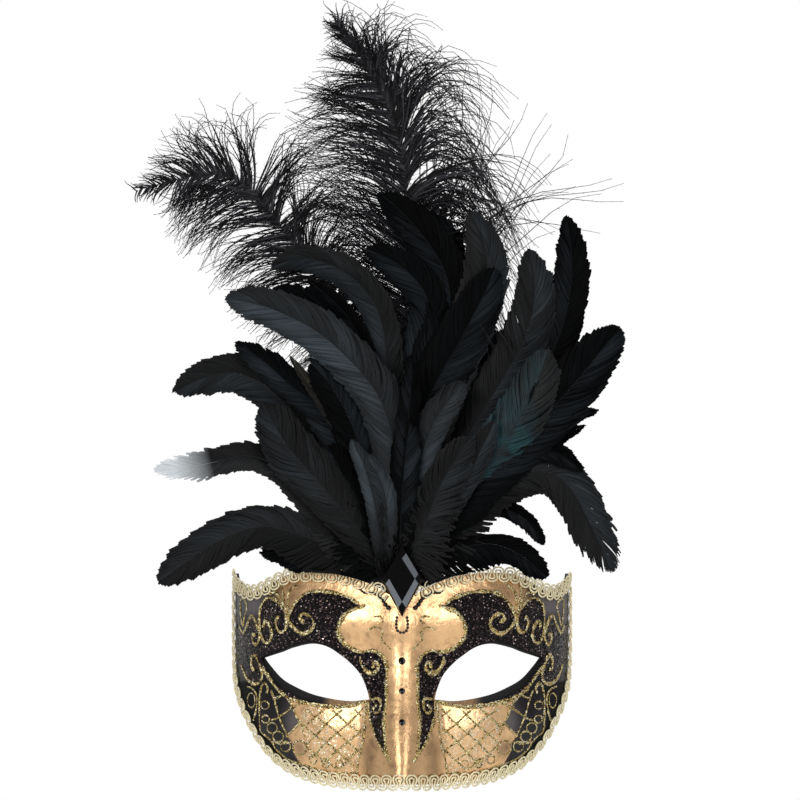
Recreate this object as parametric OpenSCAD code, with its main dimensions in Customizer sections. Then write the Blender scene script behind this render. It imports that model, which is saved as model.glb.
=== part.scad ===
// Venetian half mask with a feather crest.
// Frame: +Z up, -Y is the side seen by others, +Y the wearer's side.
// The origin is on the inside of the nose bridge, at eye height.
// Shell positions are written as [a, z]: a is the distance round the face from the
// centre line, measured on the unrolled shell, and z is the height.

/* [Shell] */
// Half width of the mask between the temples
half_w = 84.3; // [80:0.1:88]
// How far the temples lie behind the nose bridge
wrap_depth = 72; // [60:1:80]
// Wall thickness of the moulded shell
wall = 1.8; // [1.2:0.1:2.2]
// Depth of the turned-in rim round each eye hole
rim_depth = 4.4; // [3:0.1:6]
// Radius of the punched hole for a tie at each temple
tie_hole_r = 1.6; // [1.2:0.1:2.5]

/* [Nose and brow] */
// How far the nose ridge stands out halfway down the mask
nose_h = 12.5; // [10:0.5:15]
// Half width of the nose ridge halfway down the mask
nose_w = 21; // [19:0.5:24]
// Height of the brow ridge
brow_h = 3; // [0:0.5:4]
// Depth of the eye sockets
socket_h = 4; // [0:0.5:5]
// Fullness of the cheeks
cheek_h = 4; // [0:0.5:5]

/* [Braid] */
// Width of the scroll gimp braid
braid_w = 6.4; // [5:0.2:8]
// Thickness of the braid
braid_t = 1.4; // [0.8:0.1:1.8]
// How far the braid's middle lies inside the shell's edge
braid_inset = 0.9; // [0:0.1:2]

/* [Jewel, stones and beads] */
// Width of the lozenge jewel
jewel_w = 21.6; // [16:0.2:23]
// Height of the lozenge jewel
jewel_h = 36; // [30:0.5:40]
// Thickness of the lozenge jewel
jewel_t = 6.5; // [4:0.5:8]
// Radius of the beads
bead_r = 0.55; // [0.4:0.05:0.6]

/* [Feathers] */
// Thickness of a feather's vane
vane_t = 0.3; // [0.2:0.05:0.35]
// Width of a bare quill
quill_w = 0.9; // [0.6:0.1:1.1]
// Depth between one feather and the next, where they leave the mask
layer_gap = 0.42; // [0.4:0.01:0.6]
// Extra depth between layers per millimetre away from the mask
layer_fan = 0.0042; // [0.002:0.0002:0.006]

/* [Hidden] */
deg_per_mm = 180 / (PI * 80);  // turn round the face per millimetre of a
base_y = 5.4;                  // outer surface on the centre line, without the nose
clear = 0.3;                   // gap between a trim and the shell it is glued to
fold_z = -5;                   // the shell narrows below this height
fold = 0.0085;                 // how quickly it narrows

// Half outline, as [a, z]: the lower edge from chin to temple tip, and the top edge back.
LOWER_EDGE = [[0, -55.8], [20, -56.2], [40, -55.2], [62, -52.5], [80, -47.5], [90, -41],
    [96, -33], [101, -23], [108, -12], [115, -2], [119, 10], [120.4, 30], [119.8, 48.5]];
TOP_EDGE = [[119.8, 48.5], [115, 46], [108, 44], [98, 41.5], [88, 40], [78.5, 41.5], [69, 45],
    [59, 48.5], [47, 49.5], [34, 49], [23.5, 47], [14.5, 43.5], [7.5, 39.5], [0, 35]];
CENTRE_LINE = [[0, 35], [0, 20], [0, 0], [0, -20], [0, -40], [0, -55.8]];
// Eye hole on the front surface, matched to the three edges above.
EYE_NOSE_SIDE = [[27, 6], [22.4, 1.5], [19.2, -3], [16.9, -9], [15.8, -13.6]];
EYE_LOWER = [[15.8, -13.6], [24.5, -16.2], [34.5, -16.6], [45.8, -15], [56.7, -11.2],
    [65, -7], [73.8, 0.4], [79.4, 6.2]];
EYE_UPPER = [[79.4, 6.2], [64.8, 10.2], [56.7, 12.8], [45.3, 14.6], [35.9, 12], [27, 6]];
lid_rise = 2.8;       // the lower lid's rim rises by this much inside
N_CENTRE = 18;        // columns along the centre line, the lower edge and the top edge
N_LOWER = 30;
N_TOP = 24;
N_ACROSS = 7;         // bands between eye hole and edge

// Feathers, front to back. Each is [name, half width left of the shaft, half width
// right of it, height where the vane starts, route of the shaft as [x, z] points].
HACKLES = [
    ["lance_right", 8, 8.5, 60, [[4, 56], [11.5, 73.5], [18, 91], [26.5, 106], [34.5, 117.5]]],
    ["bright_left", 4, 4, 62, [[-10.5, 63.5], [-13, 81], [-18, 101], [-25, 116]]],
    ["bright_centre", 4.5, 4.5, 62, [[-8.5, 61], [-7.5, 81], [-11, 96], [-18.5, 108.5]]],
    ["soft_centre", 6.5, 6.5, 62, [[-1, 61], [0, 86], [1.5, 106], [4, 126]]],
    ["slim_centre", 4.5, 4.5, 68, [[-1, 66], [1.5, 111], [4, 136], [5, 156]]],
    ["short_right", 5.5, 5.5, 62, [[5, 56], [19, 76], [33, 98.5], [40.5, 113.5], [46.5, 125.5]]],
    ["sweep_left", 9.5, 9.5, 74, [[-2, 60], [-3.5, 86], [-4.5, 116], [-12, 138.5], [-26, 156],
        [-43.5, 171], [-66, 182], [-88.5, 187.5]]],
    ["green_grey", 7, 7, 68, [[3, 66], [9, 103.5], [14, 121], [21.5, 133.5], [30.5, 144.5]]],
    ["broad_left", 10.5, 10.5, 64, [[-8, 55], [-26, 76], [-42, 95.5], [-56, 111], [-63.5, 123.5],
        [-70, 135]]],
    ["inner_left", 8, 8, 66, [[-8.5, 61], [-18.5, 101], [-26, 126], [-36, 143.5], [-46, 155]]],
    ["dark_left", 10, 10, 60, [[-9.5, 55.5], [-23, 84], [-37, 113.5]]],
    ["brown_left", 2.5, 2.5, 68, [[-11, 63.5], [-28.5, 113.5], [-41, 136], [-48.5, 147], [-56, 158]]],
    ["mid_left", 6.5, 6.5, 66, [[-7, 56], [-21, 86], [-33.5, 116], [-43, 133], [-56, 143.5],
        [-70, 156], [-83.5, 164.5]]],
    ["iridescent", 11, 11, 62, [[6.5, 58.5], [34, 93.5], [51.5, 116], [61.5, 132], [69, 148.5],
        [73, 161.5]]],
    ["big_right", 12, 12, 62, [[6.5, 57], [34, 91], [59, 116], [74, 131], [86.5, 144.5], [99, 160],
        [109, 172]]],
    ["arched_right", 5, 5, 62, [[5, 58], [34, 86], [59, 107], [74, 110], [83, 106], [90, 100.5]]],
    ["droop_right", 9.5, 9.5, 60, [[4, 56], [34, 83.5], [54, 96], [71.5, 100], [84, 92], [95, 72],
        [105, 49.5]]],
    ["low_right", 6, 6, 56, [[5, 56], [24, 61], [44, 64], [59, 58.5], [73, 47]]],
    ["low_left_long", 9, 9, 58, [[-8.5, 54.5], [-31, 62], [-51, 68.5], [-66, 72.5], [-78.5, 71],
        [-93.5, 64.5], [-108.5, 54.5], [-122, 44.5]]],
    ["pale_tip_left", 6, 6, 60, [[-8.5, 55], [-31, 70], [-46, 85], [-56, 97], [-66, 104.5],
        [-78.5, 108], [-93.5, 105], [-108.5, 102], [-124, 101]]],
    ["upper_left", 9, 9, 66, [[-8.5, 55], [-28.5, 93.5], [-47, 121], [-61.5, 137.5], [-71, 145],
        [-84, 149.5], [-99.5, 147], [-114, 140]]],
    ["high_centre", 11, 11, 80, [[1.5, 71], [8, 121], [16.5, 143.5], [26.5, 161], [35, 177],
        [42, 191], [46.5, 202.5]]],
    ["high_left_slim", 4.5, 4.5, 80, [[-2, 61], [-6, 101], [-13.5, 141], [-20, 163.5], [-27, 177],
        [-36, 187], [-47, 196]]],
    ["high_left_arch", 7, 7, 90, [[-2, 76], [-5, 116], [-7, 146], [-9, 168.5], [-13.5, 183.5],
        [-23.5, 196], [-37.5, 204.5], [-51.5, 207], [-65.5, 202.5]]],
    ["crown_right", 10, 10, 80, [[1.5, 66], [11.5, 116], [26.5, 156], [39, 186], [42.5, 203.5],
        [40, 217], [34, 230.5]]],
    ["crown_centre", 10, 10, 90, [[0.5, 71], [9, 136], [18, 161], [24, 181], [22, 198.5], [14, 213.5],
        [1.5, 228.5], [-11, 240]]],
    ["crown_left", 8.5, 8.5, 100, [[-1, 96], [3, 146], [10, 163.5], [14, 180], [9, 193.5],
        [-3.5, 205], [-17.5, 211.5]]],
    ["blunt_right", 10, 10, 80, [[5, 61], [31.5, 116], [51.5, 148.5], [63, 171], [66.5, 191],
        [64, 211.5]]],
    ["upright_right", 8, 8, 80, [[5, 58], [29, 91], [59, 131], [77, 163.5], [84, 188.5], [85, 208.5],
        [82.5, 229]]],
    ["thin_right_upper", 4.5, 4.5, 64, [[5, 58], [39, 93.5], [66.5, 118.5], [81.5, 127],
        [97.5, 130.5]]],
    ["thin_right_lower", 3.5, 3.5, 64, [[5, 58], [59, 107], [76.5, 116], [91, 123]]],
    ["sparse_right", 4, 4, 62, [[5, 57], [29, 75], [46.5, 82.5], [61.5, 76], [71.5, 63.5]]],
    ["low_left_fluffy", 5.5, 5.5, 54, [[-8.5, 53], [-31, 55], [-51, 58], [-70, 60]]],
    ["crown_back", 7, 7, 110, [[1, 80], [14, 140], [27, 176], [29, 192.5], [26, 202], [20.5, 220.5],
        [9, 229.5]]],
    ["filler_right", 10, 10, 90, [[6.5, 66], [29, 121], [41.5, 151], [49, 171]]],
    ["filler_left", 9, 9, 100, [[-4, 96], [-16, 146], [-36, 176], [-66, 191]]]];
OSTRICH = [
    ["ostrich_top", 40, 34, 150, [[-1, 60], [1, 136], [2.5, 211], [2.5, 235.5], [0, 258.5],
        [-6, 281], [-16.5, 301], [-26, 316], [-35, 328]]],
    ["ostrich_left", 24, 30, 150, [[-5, 66], [-18.5, 146], [-36, 191], [-53.5, 213.5], [-66, 230],
        [-78.5, 243.5], [-93.5, 249.5], [-111, 247], [-136, 240.5]]],
    ["ostrich_right", 14, 26, 150, [[1.5, 66], [14, 161], [19, 211], [25, 246], [30, 271],
        [30, 300]]]];
PLUMES = concat(HACKLES, OSTRICH);
fan_centre = [-1, 30];   // the point in the V notch that the feathers spread from
PER_ROW = 13;            // quills glued side by side in one row behind the forehead
quill_z = 24;            // lower end of the quills
row_y = base_y + 1.1;    // depth of the first row of quills
row_step = 1;            // depth between rows
quill_pitch = 1.3;       // distance between quills in a row
STATIONS = 15;           // sections along each feather

function feather_name(k) = k < len(HACKLES) ? str("feather_", PLUMES[k][0]) : PLUMES[k][0];

// ---- curves -------------------------------------------------------------------

// Point on a smooth curve through pts, at position u counted in points.
function curve_at(pts, u) = let (n = len(pts) - 1, i = min(floor(u), n - 1), t = u - i,
        b = pts[i], c = pts[i + 1],
        a = i > 0 ? pts[i - 1] : 2 * b - c, d = i + 2 <= n ? pts[i + 2] : 2 * c - b)
    0.5 * (2 * b + (c - a) * t + (2 * a - 5 * b + 4 * c - d) * t * t
        + (3 * b - a - 3 * c + d) * t * t * t);

function distances(pts) = [for (i = 0, s = 0; i < len(pts);
        s = s + (i + 1 < len(pts) ? norm(pts[i + 1] - pts[i]) : 0), i = i + 1) s];

// The same curve as m + 1 points at equal distances.
function evenly(pts, m) = let (s = distances(pts), last = len(pts) - 1,
        table = [for (i = [0:last]) [s[i], i]])
    [for (k = [0:m]) curve_at(pts, lookup(s[last] * k / m, table))];

function ramp(x) = let (t = min(max(x, 0), 1)) t * t * (3 - 2 * t);
function bell(x) = exp(-x * x);
function unit(v) = v / norm(v);
function tip_of(pts) = pts[len(pts) - 1];

// ---- the shell's surface ----------------------------------------------------------

// Goes from -1 low on the mask to 1 high on it, and shapes the nose.
function rise(z) = let (e = exp(2 * (z + 18) / 38)) (e - 1) / (e + 1);
function nose(a, z) = let (w = nose_w - 9.5 * rise(z), q = min(abs(a) / w, 1))
    (nose_h - 0.93 * nose_h * rise(z)) * pow(1 - q * q, 2);
function relief(a, z) = brow_h * bell((z - 25) / 12) * bell(a / 90)
    + cheek_h * bell((z + 30) / 18) * bell((abs(a) - 42) / 26)
    - socket_h * bell((abs(a) - 46) / 28) * bell(z / 14)
    - 4 * ramp((z - 30) / 20) * (1 - bell(a / 30));
function skin_at(a, z) = let (th = a * deg_per_mm, drop = min(z - fold_z, 0))
    [(half_w - fold * drop * drop) * sin(th),
     base_y + wrap_depth * (1 - pow(max(cos(th), 0.001), 0.85)) - nose(a, z) - relief(a, z), z];
// Direction from the outer surface towards the wearer.
function inward(a, z) = unit(cross(skin_at(a, z + 0.5) - skin_at(a, z - 0.5),
    skin_at(a + 0.5, z) - skin_at(a - 0.5, z)));
// Point at a depth behind the outer surface. A negative depth is in front of it.
function at_depth(p, depth) = skin_at(p[0], p[1]) + depth * inward(p[0], p[1]);
// The rim of an eye hole turns in nearly straight back, away from the nose.
function at_rim(p, depth) = skin_at(p[0], p[1])
    + depth * unit(inward(p[0], p[1]) + [0, 1.5 * ramp((p[0] - 22) / 25), 0]);

// ---- closed lofts -----------------------------------------------------------------

// Solid through rings that have the same number of points, with flat or fanned ends.
module loft(rings) {
    n = len(rings[0]);
    m = len(rings);
    sides = [for (i = [0:m - 2], j = [0:n - 1])
        let (p = i * n + j, q = i * n + (j + 1) % n) each [[p, q, q + n], [p, q + n, p + n]]];
    ends = [for (j = [1:n - 2]) each [[0, j + 1, j], [(m - 1) * n, (m - 1) * n + j, (m - 1) * n + j + 1]]];
    polyhedron([for (r = rings) each r], concat(sides, ends));
}

// ---- moulded shell -----------------------------------------------------------------

function mirrored(p, side) = [side * p[0], p[1], p[2]];
RIM = concat(evenly(EYE_NOSE_SIDE, N_CENTRE),
    [for (k = [1:N_LOWER]) evenly(EYE_LOWER, N_LOWER)[k]],
    [for (k = [1:N_TOP - 1]) evenly(EYE_UPPER, N_TOP)[k]]);
EDGE = concat(evenly(CENTRE_LINE, N_CENTRE),
    [for (k = [1:N_LOWER]) evenly(LOWER_EDGE, N_LOWER)[k]],
    [for (k = [1:N_TOP - 1]) evenly(TOP_EDGE, N_TOP)[k]]);
function lid_lift(i) = i > N_CENTRE && i < N_CENTRE + N_LOWER
    ? lid_rise * sin(180 * (i - N_CENTRE) / N_LOWER) : 0;

// One section of the shell, from the edge to the eye hole outside and back inside.
function shell_section(i) = let (eye = RIM[i], edge = EDGE[i], step = unit(edge - eye) * wall,
        lifted = eye + [0, lid_lift(i)])
    concat([for (k = [N_ACROSS:-1:0]) at_depth(eye + (edge - eye) * k / N_ACROSS, 0)],
        [at_rim(lifted, rim_depth), at_rim(lifted + step, rim_depth)],
        [for (k = [0:N_ACROSS]) at_depth(eye + step + (edge - eye - step) * k / N_ACROSS, wall)]);

module shell_body() {
    cols = len(RIM);
    n = 2 * N_ACROSS + 4;
    sections = [for (i = [0:cols - 1]) shell_section(i)];
    points = [for (side = [1, -1], s = sections, p = s) mirrored(p, side)];
    // Both halves share their points on the centre line.
    function id(half, i, j) = let (c = i % cols, r = j % n,
            shared = c <= N_CENTRE && (r == 0 || r == n - 1))
        (shared ? 0 : half * cols * n) + c * n + r;
    faces = [for (half = [0, 1], i = [0:cols - 1], j = [0:n - 1])
        if (!(j == n - 1 && i < N_CENTRE))
            let (a = id(half, i, j), b = id(half, i, j + 1), c = id(half, i + 1, j + 1),
                d = id(half, i + 1, j))
            each (half == 0 ? [[a, c, b], [a, d, c]] : [[a, b, c], [a, c, d]])];
    polyhedron(points, faces);
}

tie_hole_at = [112, 22];
module tie_hole(side) {
    p = at_depth(tie_hole_at, wall / 2);
    v = inward(tie_hole_at[0], tie_hole_at[1]);
    translate(mirrored(p, side)) rotate([0, 90 - asin(v[2]), atan2(v[1], side * v[0])])
        cylinder(r = tie_hole_r, h = 8, center = true, $fn = 48);
}

module mask_shell() {
    color("#c9a06a") difference() {
        shell_body();
        tie_hole(1);
        tie_hole(-1);
    }
}

// ---- braid -----------------------------------------------------------------------

// A flat band on the outer surface, round a path of [a, z] points.
function band_section(path, i) = let (last = len(path) - 1,
        t = unit(path[min(i + 1, last)] - path[max(i - 1, 0)]), across = [t[1], -t[0]] * braid_w / 2,
        p = path[i])
    [at_depth(p - across, -clear), at_depth(p + across, -clear),
     at_depth(p + across, -clear - braid_t), at_depth(p - across, -clear - braid_t)];
module band(path) {
    loft([for (i = [0:len(path) - 1]) band_section(path, i)]);
}
function shifted(path, side, off) = let (last = len(path) - 1)
    [for (i = [0:last]) let (t = unit(path[min(i + 1, last)] - path[max(i - 1, 0)]),
        p = path[i] + off * [-t[1], t[0]]) [side * p[0], p[1]]];
function reversed(path) = [for (i = [len(path) - 1:-1:0]) path[i]];

// The top braids run from the temple tip to the V notch.
TOP_PATH = [for (p = evenly(TOP_EDGE, 46)) if (p[0] > 7) p];
LOW_PATH = [for (p = evenly(LOWER_EDGE, 52)) if (p[1] < 41.5) p];
module braid_top(side) {
    color("#d8c48c") band(shifted(TOP_PATH, side, braid_inset));
}
module braid_top_right() { braid_top(1); }
module braid_top_left() { braid_top(-1); }
module braid_lower() {
    right = shifted(LOW_PATH, 1, braid_inset);
    left = shifted(LOW_PATH, -1, braid_inset);
    color("#d8c48c")
        band(concat(reversed(left), [for (i = [1:len(right) - 1]) right[i]]));
}

// ---- jewel, stones and beads --------------------------------------------------------

jewel_tip_z = 27.6;    // lower tip
jewel_wide = 0.53;     // height of the widest place, as a fraction
jewel_back_y = base_y - 7.6;
girdle_t = 1.6;        // thickness at the edge
table = 0.6;           // size of the flat top facet, as a fraction
kite = 0.38;           // how far out each corner facet is widest
kite_w = [2.4, 2];     // half widths of the side and the end corner facets

// A lozenge-cut stone: a flat table, four bars, four kites on the corners and a bevel.
module jewel() {
    low = jewel_h * jewel_wide;
    corners = [[jewel_w / 2, 0], [0, jewel_h - low], [-jewel_w / 2, 0], [0, -low]];
    turns = [[0, 1], [-1, 0], [0, -1], [1, 0]];
    function cut(k, side) = corners[k] * (table + (1 - table) * kite)
        + side * kite_w[k % 2] * turns[k];
    function face_point(q, t) = [q[0], jewel_back_y - t, jewel_tip_z + low + q[1]];
    cut_t = jewel_t + kite * (girdle_t - jewel_t);
    points = concat([for (c = corners) face_point(c, 0)], [for (c = corners) face_point(c, girdle_t)],
        [for (k = [0:3]) face_point(cut(k, -1), cut_t)], [for (k = [0:3]) face_point(cut(k, 1), cut_t)],
        [for (c = corners) face_point(table * c, jewel_t)]);
    rounds = [for (k = [0:3]) let (n = (k + 1) % 4)
        each [[n, k, 4 + k], [n, 4 + k, 4 + n],
              [4 + n, 4 + k, 12 + k], [4 + n, 12 + k, 8 + n],
              [8 + n, 12 + k, 16 + k], [8 + n, 16 + k, 16 + n],
              [4 + k, 8 + k, 16 + k], [4 + k, 16 + k, 12 + k]]];
    faces = concat([[0, 1, 2], [0, 2, 3], [16, 18, 17], [16, 19, 18]], rounds);
    color("#141414") polyhedron(points, faces);
}

module stone(z, r) {
    p = at_depth([0, z], -0.05);
    v = inward(0, z);
    color("#0c0c0e") translate(p) rotate([90 + asin(v[2]), 0, 0]) {
        cylinder(r = r, h = 0.5, $fn = 32);
        translate([0, 0, 0.5]) cylinder(r1 = r, r2 = 0.45 * r, h = 0.7 * r, $fn = 32);
    }
}
module nose_stone_upper() { stone(5.5, 1.9); }
module nose_stone_middle() { stone(-9.5, 1.6); }
module nose_stone_lower() { stone(-25, 1.6); }

module beads(path, count) {
    color("#101012") for (p = evenly(path, count - 1))
        translate(at_depth(p, -bead_r - 0.05)) sphere(r = bead_r, $fn = 24);
}
module bead_loop() {
    beads([[-2.7, 26], [-2.9, 22.4], [-2, 20], [0, 19.1], [2, 20], [2.9, 22.4], [2.7, 26]], 14);
}
module bead_swag(side) {
    beads([for (p = [[21.5, 40], [17.6, 38], [13.8, 36.8], [11.2, 34.4], [9.6, 32], [7.2, 31],
        [5.4, 32.4]]) [side * p[0], p[1]]], 17);
}
module bead_swag_left() { bead_swag(-1); }
module bead_swag_right() { bead_swag(1); }

// ---- feather crest -----------------------------------------------------------------

function row_of(k) = floor(k / PER_ROW);
// Quills in a row stand in the order in which their feathers leave the notch.
function order_key(k) = let (r = PLUMES[k][4], t = tip_of(r)) r[0][0] + 0.05 * atan2(t[0], t[1]);
function rank(k) = let (first = row_of(k) * PER_ROW)
    len([for (j = [first:min(first + PER_ROW, len(PLUMES)) - 1])
        if (order_key(j) < order_key(k) || (order_key(j) == order_key(k) && j < k)) 1]);
function quill_x(k) = quill_pitch * (rank(k) - (PER_ROW - 1) / 2);

// Depth of layer k at a distance r from the fan's centre. Layers never cross.
function layer_y(k, r) = let (out = max(r - 30, 0), t = ramp((r - 13) / 20))
    (1 - t) * (row_y + row_step * row_of(k))
    + t * (base_y - 6.2 - 0.1 * min(out, 160) + k * (layer_gap + layer_fan * out));

// Share of the full width at a fraction s of the vane, from its start to its tip.
function vane_shape(s) = s <= 0 ? 0 : pow(min(s / 0.25, 1), 0.7) * pow(min((1 - s) / 0.3, 1), 0.55);

function feather_section(k, path, i) = let (f = PLUMES[k], last = len(path) - 1, p = path[i],
        t = unit(path[min(i + 1, last)] - path[max(i - 1, 0)]), left = [-t[1], t[0]],
        start = len([for (q = path) if (norm(q - fan_centre) < 34 || q[1] < f[3]) 1]),
        s = vane_shape((i - start + 1) / (last - start + 1)),
        a = p + left * max(quill_w / 2, f[1] * s), b = p - left * max(quill_w / 2, f[2] * s),
        ya = layer_y(k, norm(a - fan_centre)), yb = layer_y(k, norm(b - fan_centre)))
    [[a[0], ya - vane_t / 2, a[1]], [a[0], ya + vane_t / 2, a[1]],
     [b[0], yb + vane_t / 2, b[1]], [b[0], yb - vane_t / 2, b[1]]];

module feather(k) {
    x = quill_x(k);
    route = concat([[x, quill_z], [0.98 * x, 36], [0.25 * x + 0.75 * PLUMES[k][4][0][0], 46]],
        PLUMES[k][4]);
    path = evenly(route, STATIONS);
    color(k == 13 ? "#17302e" : k % 3 == 0 ? "#26292c" : "#1b1d20")
        loft([for (i = [0:STATIONS]) feather_section(k, path, i)]);
}

// Flat thread wrapping that holds the quills together below the notch.
binding_z = [28, 33];
module quill_binding() {
    wide = quill_pitch * PER_ROW / 2 + 0.4;
    front = row_y - 0.5;
    back = row_y + 2 * row_step + 0.5;
    color("#2a2622") translate([0, 0, binding_z[0]]) linear_extrude(binding_z[1] - binding_z[0])
        difference() {
            translate([-wide - 0.4, front - 0.4]) square([2 * wide + 0.8, back - front + 0.8]);
            translate([-wide, front]) square([2 * wide, back - front]);
        }
}

felt_size = [38, 20];
module felt_patch() {
    color("#1e1e20") translate([0, row_y + 2 * row_step + 1.2, 14 + felt_size[1] / 2])
        rotate([-90, 0, 0]) linear_extrude(1) hull()
            for (x = [-1, 1], z = [-1, 1])
                translate([x * (felt_size[0] / 2 - 4), z * (felt_size[1] / 2 - 4)]) circle(r = 4, $fn = 32);
}

mask_shell();
braid_top_left();
braid_top_right();
braid_lower();
jewel();
nose_stone_upper();
nose_stone_middle();
nose_stone_lower();
bead_loop();
bead_swag_left();
bead_swag_right();
quill_binding();
felt_patch();
for (k = [0:len(PLUMES) - 1])
    feather(k);
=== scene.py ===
"""Venetian half mask with a feather crest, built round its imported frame.

Places are in millimetres and become metres when a mesh is made. As in the frame,
+Z is up, -Y is the side seen by others, and [a, z] is a place on the unrolled shell:
a is the distance round the face from the centre line and z is the height.
"""
import math
import bmesh
import bpy
import numpy as np
from bpy.props import FloatProperty, FloatVectorProperty, IntProperty, PointerProperty
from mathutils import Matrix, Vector


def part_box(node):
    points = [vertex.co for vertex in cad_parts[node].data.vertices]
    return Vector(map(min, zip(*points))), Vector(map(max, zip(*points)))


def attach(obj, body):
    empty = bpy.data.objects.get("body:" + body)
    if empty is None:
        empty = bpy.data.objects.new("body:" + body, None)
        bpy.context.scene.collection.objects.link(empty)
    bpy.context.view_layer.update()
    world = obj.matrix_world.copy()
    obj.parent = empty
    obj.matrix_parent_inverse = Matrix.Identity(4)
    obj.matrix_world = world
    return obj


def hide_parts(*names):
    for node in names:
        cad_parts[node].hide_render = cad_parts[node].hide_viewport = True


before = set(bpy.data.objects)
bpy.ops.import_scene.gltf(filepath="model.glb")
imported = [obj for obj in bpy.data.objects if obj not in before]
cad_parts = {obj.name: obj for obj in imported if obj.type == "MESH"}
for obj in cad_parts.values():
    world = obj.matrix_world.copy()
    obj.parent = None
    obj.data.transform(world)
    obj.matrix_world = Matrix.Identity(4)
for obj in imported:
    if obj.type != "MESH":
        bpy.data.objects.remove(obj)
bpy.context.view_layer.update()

bl_info = {
    "name": "Feathered half mask",
    "version": (1, 0, 0),
    "blender": (4, 5, 0),
    "location": "3D View > Sidebar > Mask",
    "description": "Foil and glitter mask, gimp braid, lozenge jewel, beads, feather crest",
    "category": "Object",
}

MM = 0.001
OUT = np.array([0.0, -1.0, 0.0])      # towards the people who look at the mask
UP = np.array([0.0, 0.0, 1.0])

# ---- the shell's measures, as in the frame ------------------------------------------
HALF_W = 84.3
WRAP_DEPTH = 72.0
WALL = 1.8
RIM_DEPTH = 4.4
BASE_Y = 5.4
TURN_RADIUS = 80.0
TIE_HOLE = (112.0, 22.0, 1.6)         # a, z and radius
LOWER_EDGE = [[0, -55.8], [20, -56.2], [40, -55.2], [62, -52.5], [80, -47.5], [90, -41],
              [96, -33], [101, -23], [108, -12], [115, -2], [119, 10], [120.4, 30], [119.8, 48.5]]
TOP_EDGE = [[119.8, 48.5], [115, 46], [108, 44], [98, 41.5], [88, 40], [78.5, 41.5], [69, 45],
            [59, 48.5], [47, 49.5], [34, 49], [23.5, 47], [14.5, 43.5], [7.5, 39.5], [0, 35]]
CENTRE_LINE = [[0, 35], [0, 20], [0, 0], [0, -20], [0, -40], [0, -55.8]]
EYE_NOSE_SIDE = [[27, 6], [22.4, 1.5], [19.2, -3], [16.9, -9], [15.8, -13.6]]
EYE_LOWER = [[15.8, -13.6], [24.5, -16.2], [34.5, -16.6], [45.8, -15], [56.7, -11.2],
             [65, -7], [73.8, 0.4], [79.4, 6.2]]
EYE_UPPER = [[79.4, 6.2], [64.8, 10.2], [56.7, 12.8], [45.3, 14.6], [35.9, 12], [27, 6]]
LID_RISE = 4.4
BROW_DROP = 1.6

# ---- painted pattern, as [distance from the centre line, z] seen from the front ------
# Black glitter band: over the brow, out to the temple, back under the lower lid and down
# beside the nose to a point.
GLITTER_BAND = [
    [18.3, 33.4], [21.7, 33.8], [26, 36.9], [33.6, 39.5], [42, 40.3], [48, 39.2], [52.7, 35.3],
    [55.8, 29.2], [57.6, 25], [59.5, 31], [62.2, 34.6], [66.6, 36.8], [70.2, 34.1], [71.5, 29.2],
    [71.8, 22.3], [74.2, 26.1], [76, 27.4], [77.8, 23], [80, 18.9], [81.8, 22.5], [84.25, 24],
    [84.25, 4], [81, 3], [79, -2.6], [76.2, -5.8], [73, -6.6], [70.8, -4.7], [70.3, -1.5],
    [67.6, -2.5], [64.3, -6.9], [60, -11.2], [55.6, -13.9], [48.1, -15.8], [39.9, -17.2],
    [31.8, -17.7], [23.7, -16.6], [17.7, -14.5], [16.1, -23.7], [13.9, -30.7], [11.2, -36.7],
    [7.4, -42], [8.5, -32.4], [9, -24.2], [7.9, -15], [7.9, -3.6], [7.6, 2.4], [9.9, 7.8],
    [14.5, 10.5], [21.4, 10], [27.5, 13], [31.3, 17.7], [31.7, 22.3], [29.8, 26.9], [26, 30.4]]
# The black hem below the cheeks lies below this line.
HEM_LINE = [[37, -51], [48, -47.5], [55.6, -45.1], [58.9, -43.2], [63.2, -39.4], [65.4, -35.6],
            [68.1, -32.9], [71.1, -29.7], [71.6, -5], [90, -5]]
# Dark paint on the cheek, out past the shell's edge.
DARK_CHEEK = [[71.4, 2.3], [67.6, -2], [64.3, -6.9], [60, -11.2], [55.6, -16.1], [52.9, -22.6],
              [50.8, -26.4], [54, -29.5], [57.3, -32.4], [55, -36], [54, -41], [51, -46.5],
              [60, -60], [100, -60], [100, 16], [74, 16]]
# The lattice on the cheek fills this outline.
CHEEK = [[18.5, -17], [24, -18], [32, -18.6], [40, -18], [47, -17], [51.4, -24], [50.4, -33],
         [47.6, -40], [44, -46], [36, -49], [24, -49.5], [22.4, -45], [20.4, -36], [18.9, -27]]
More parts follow.
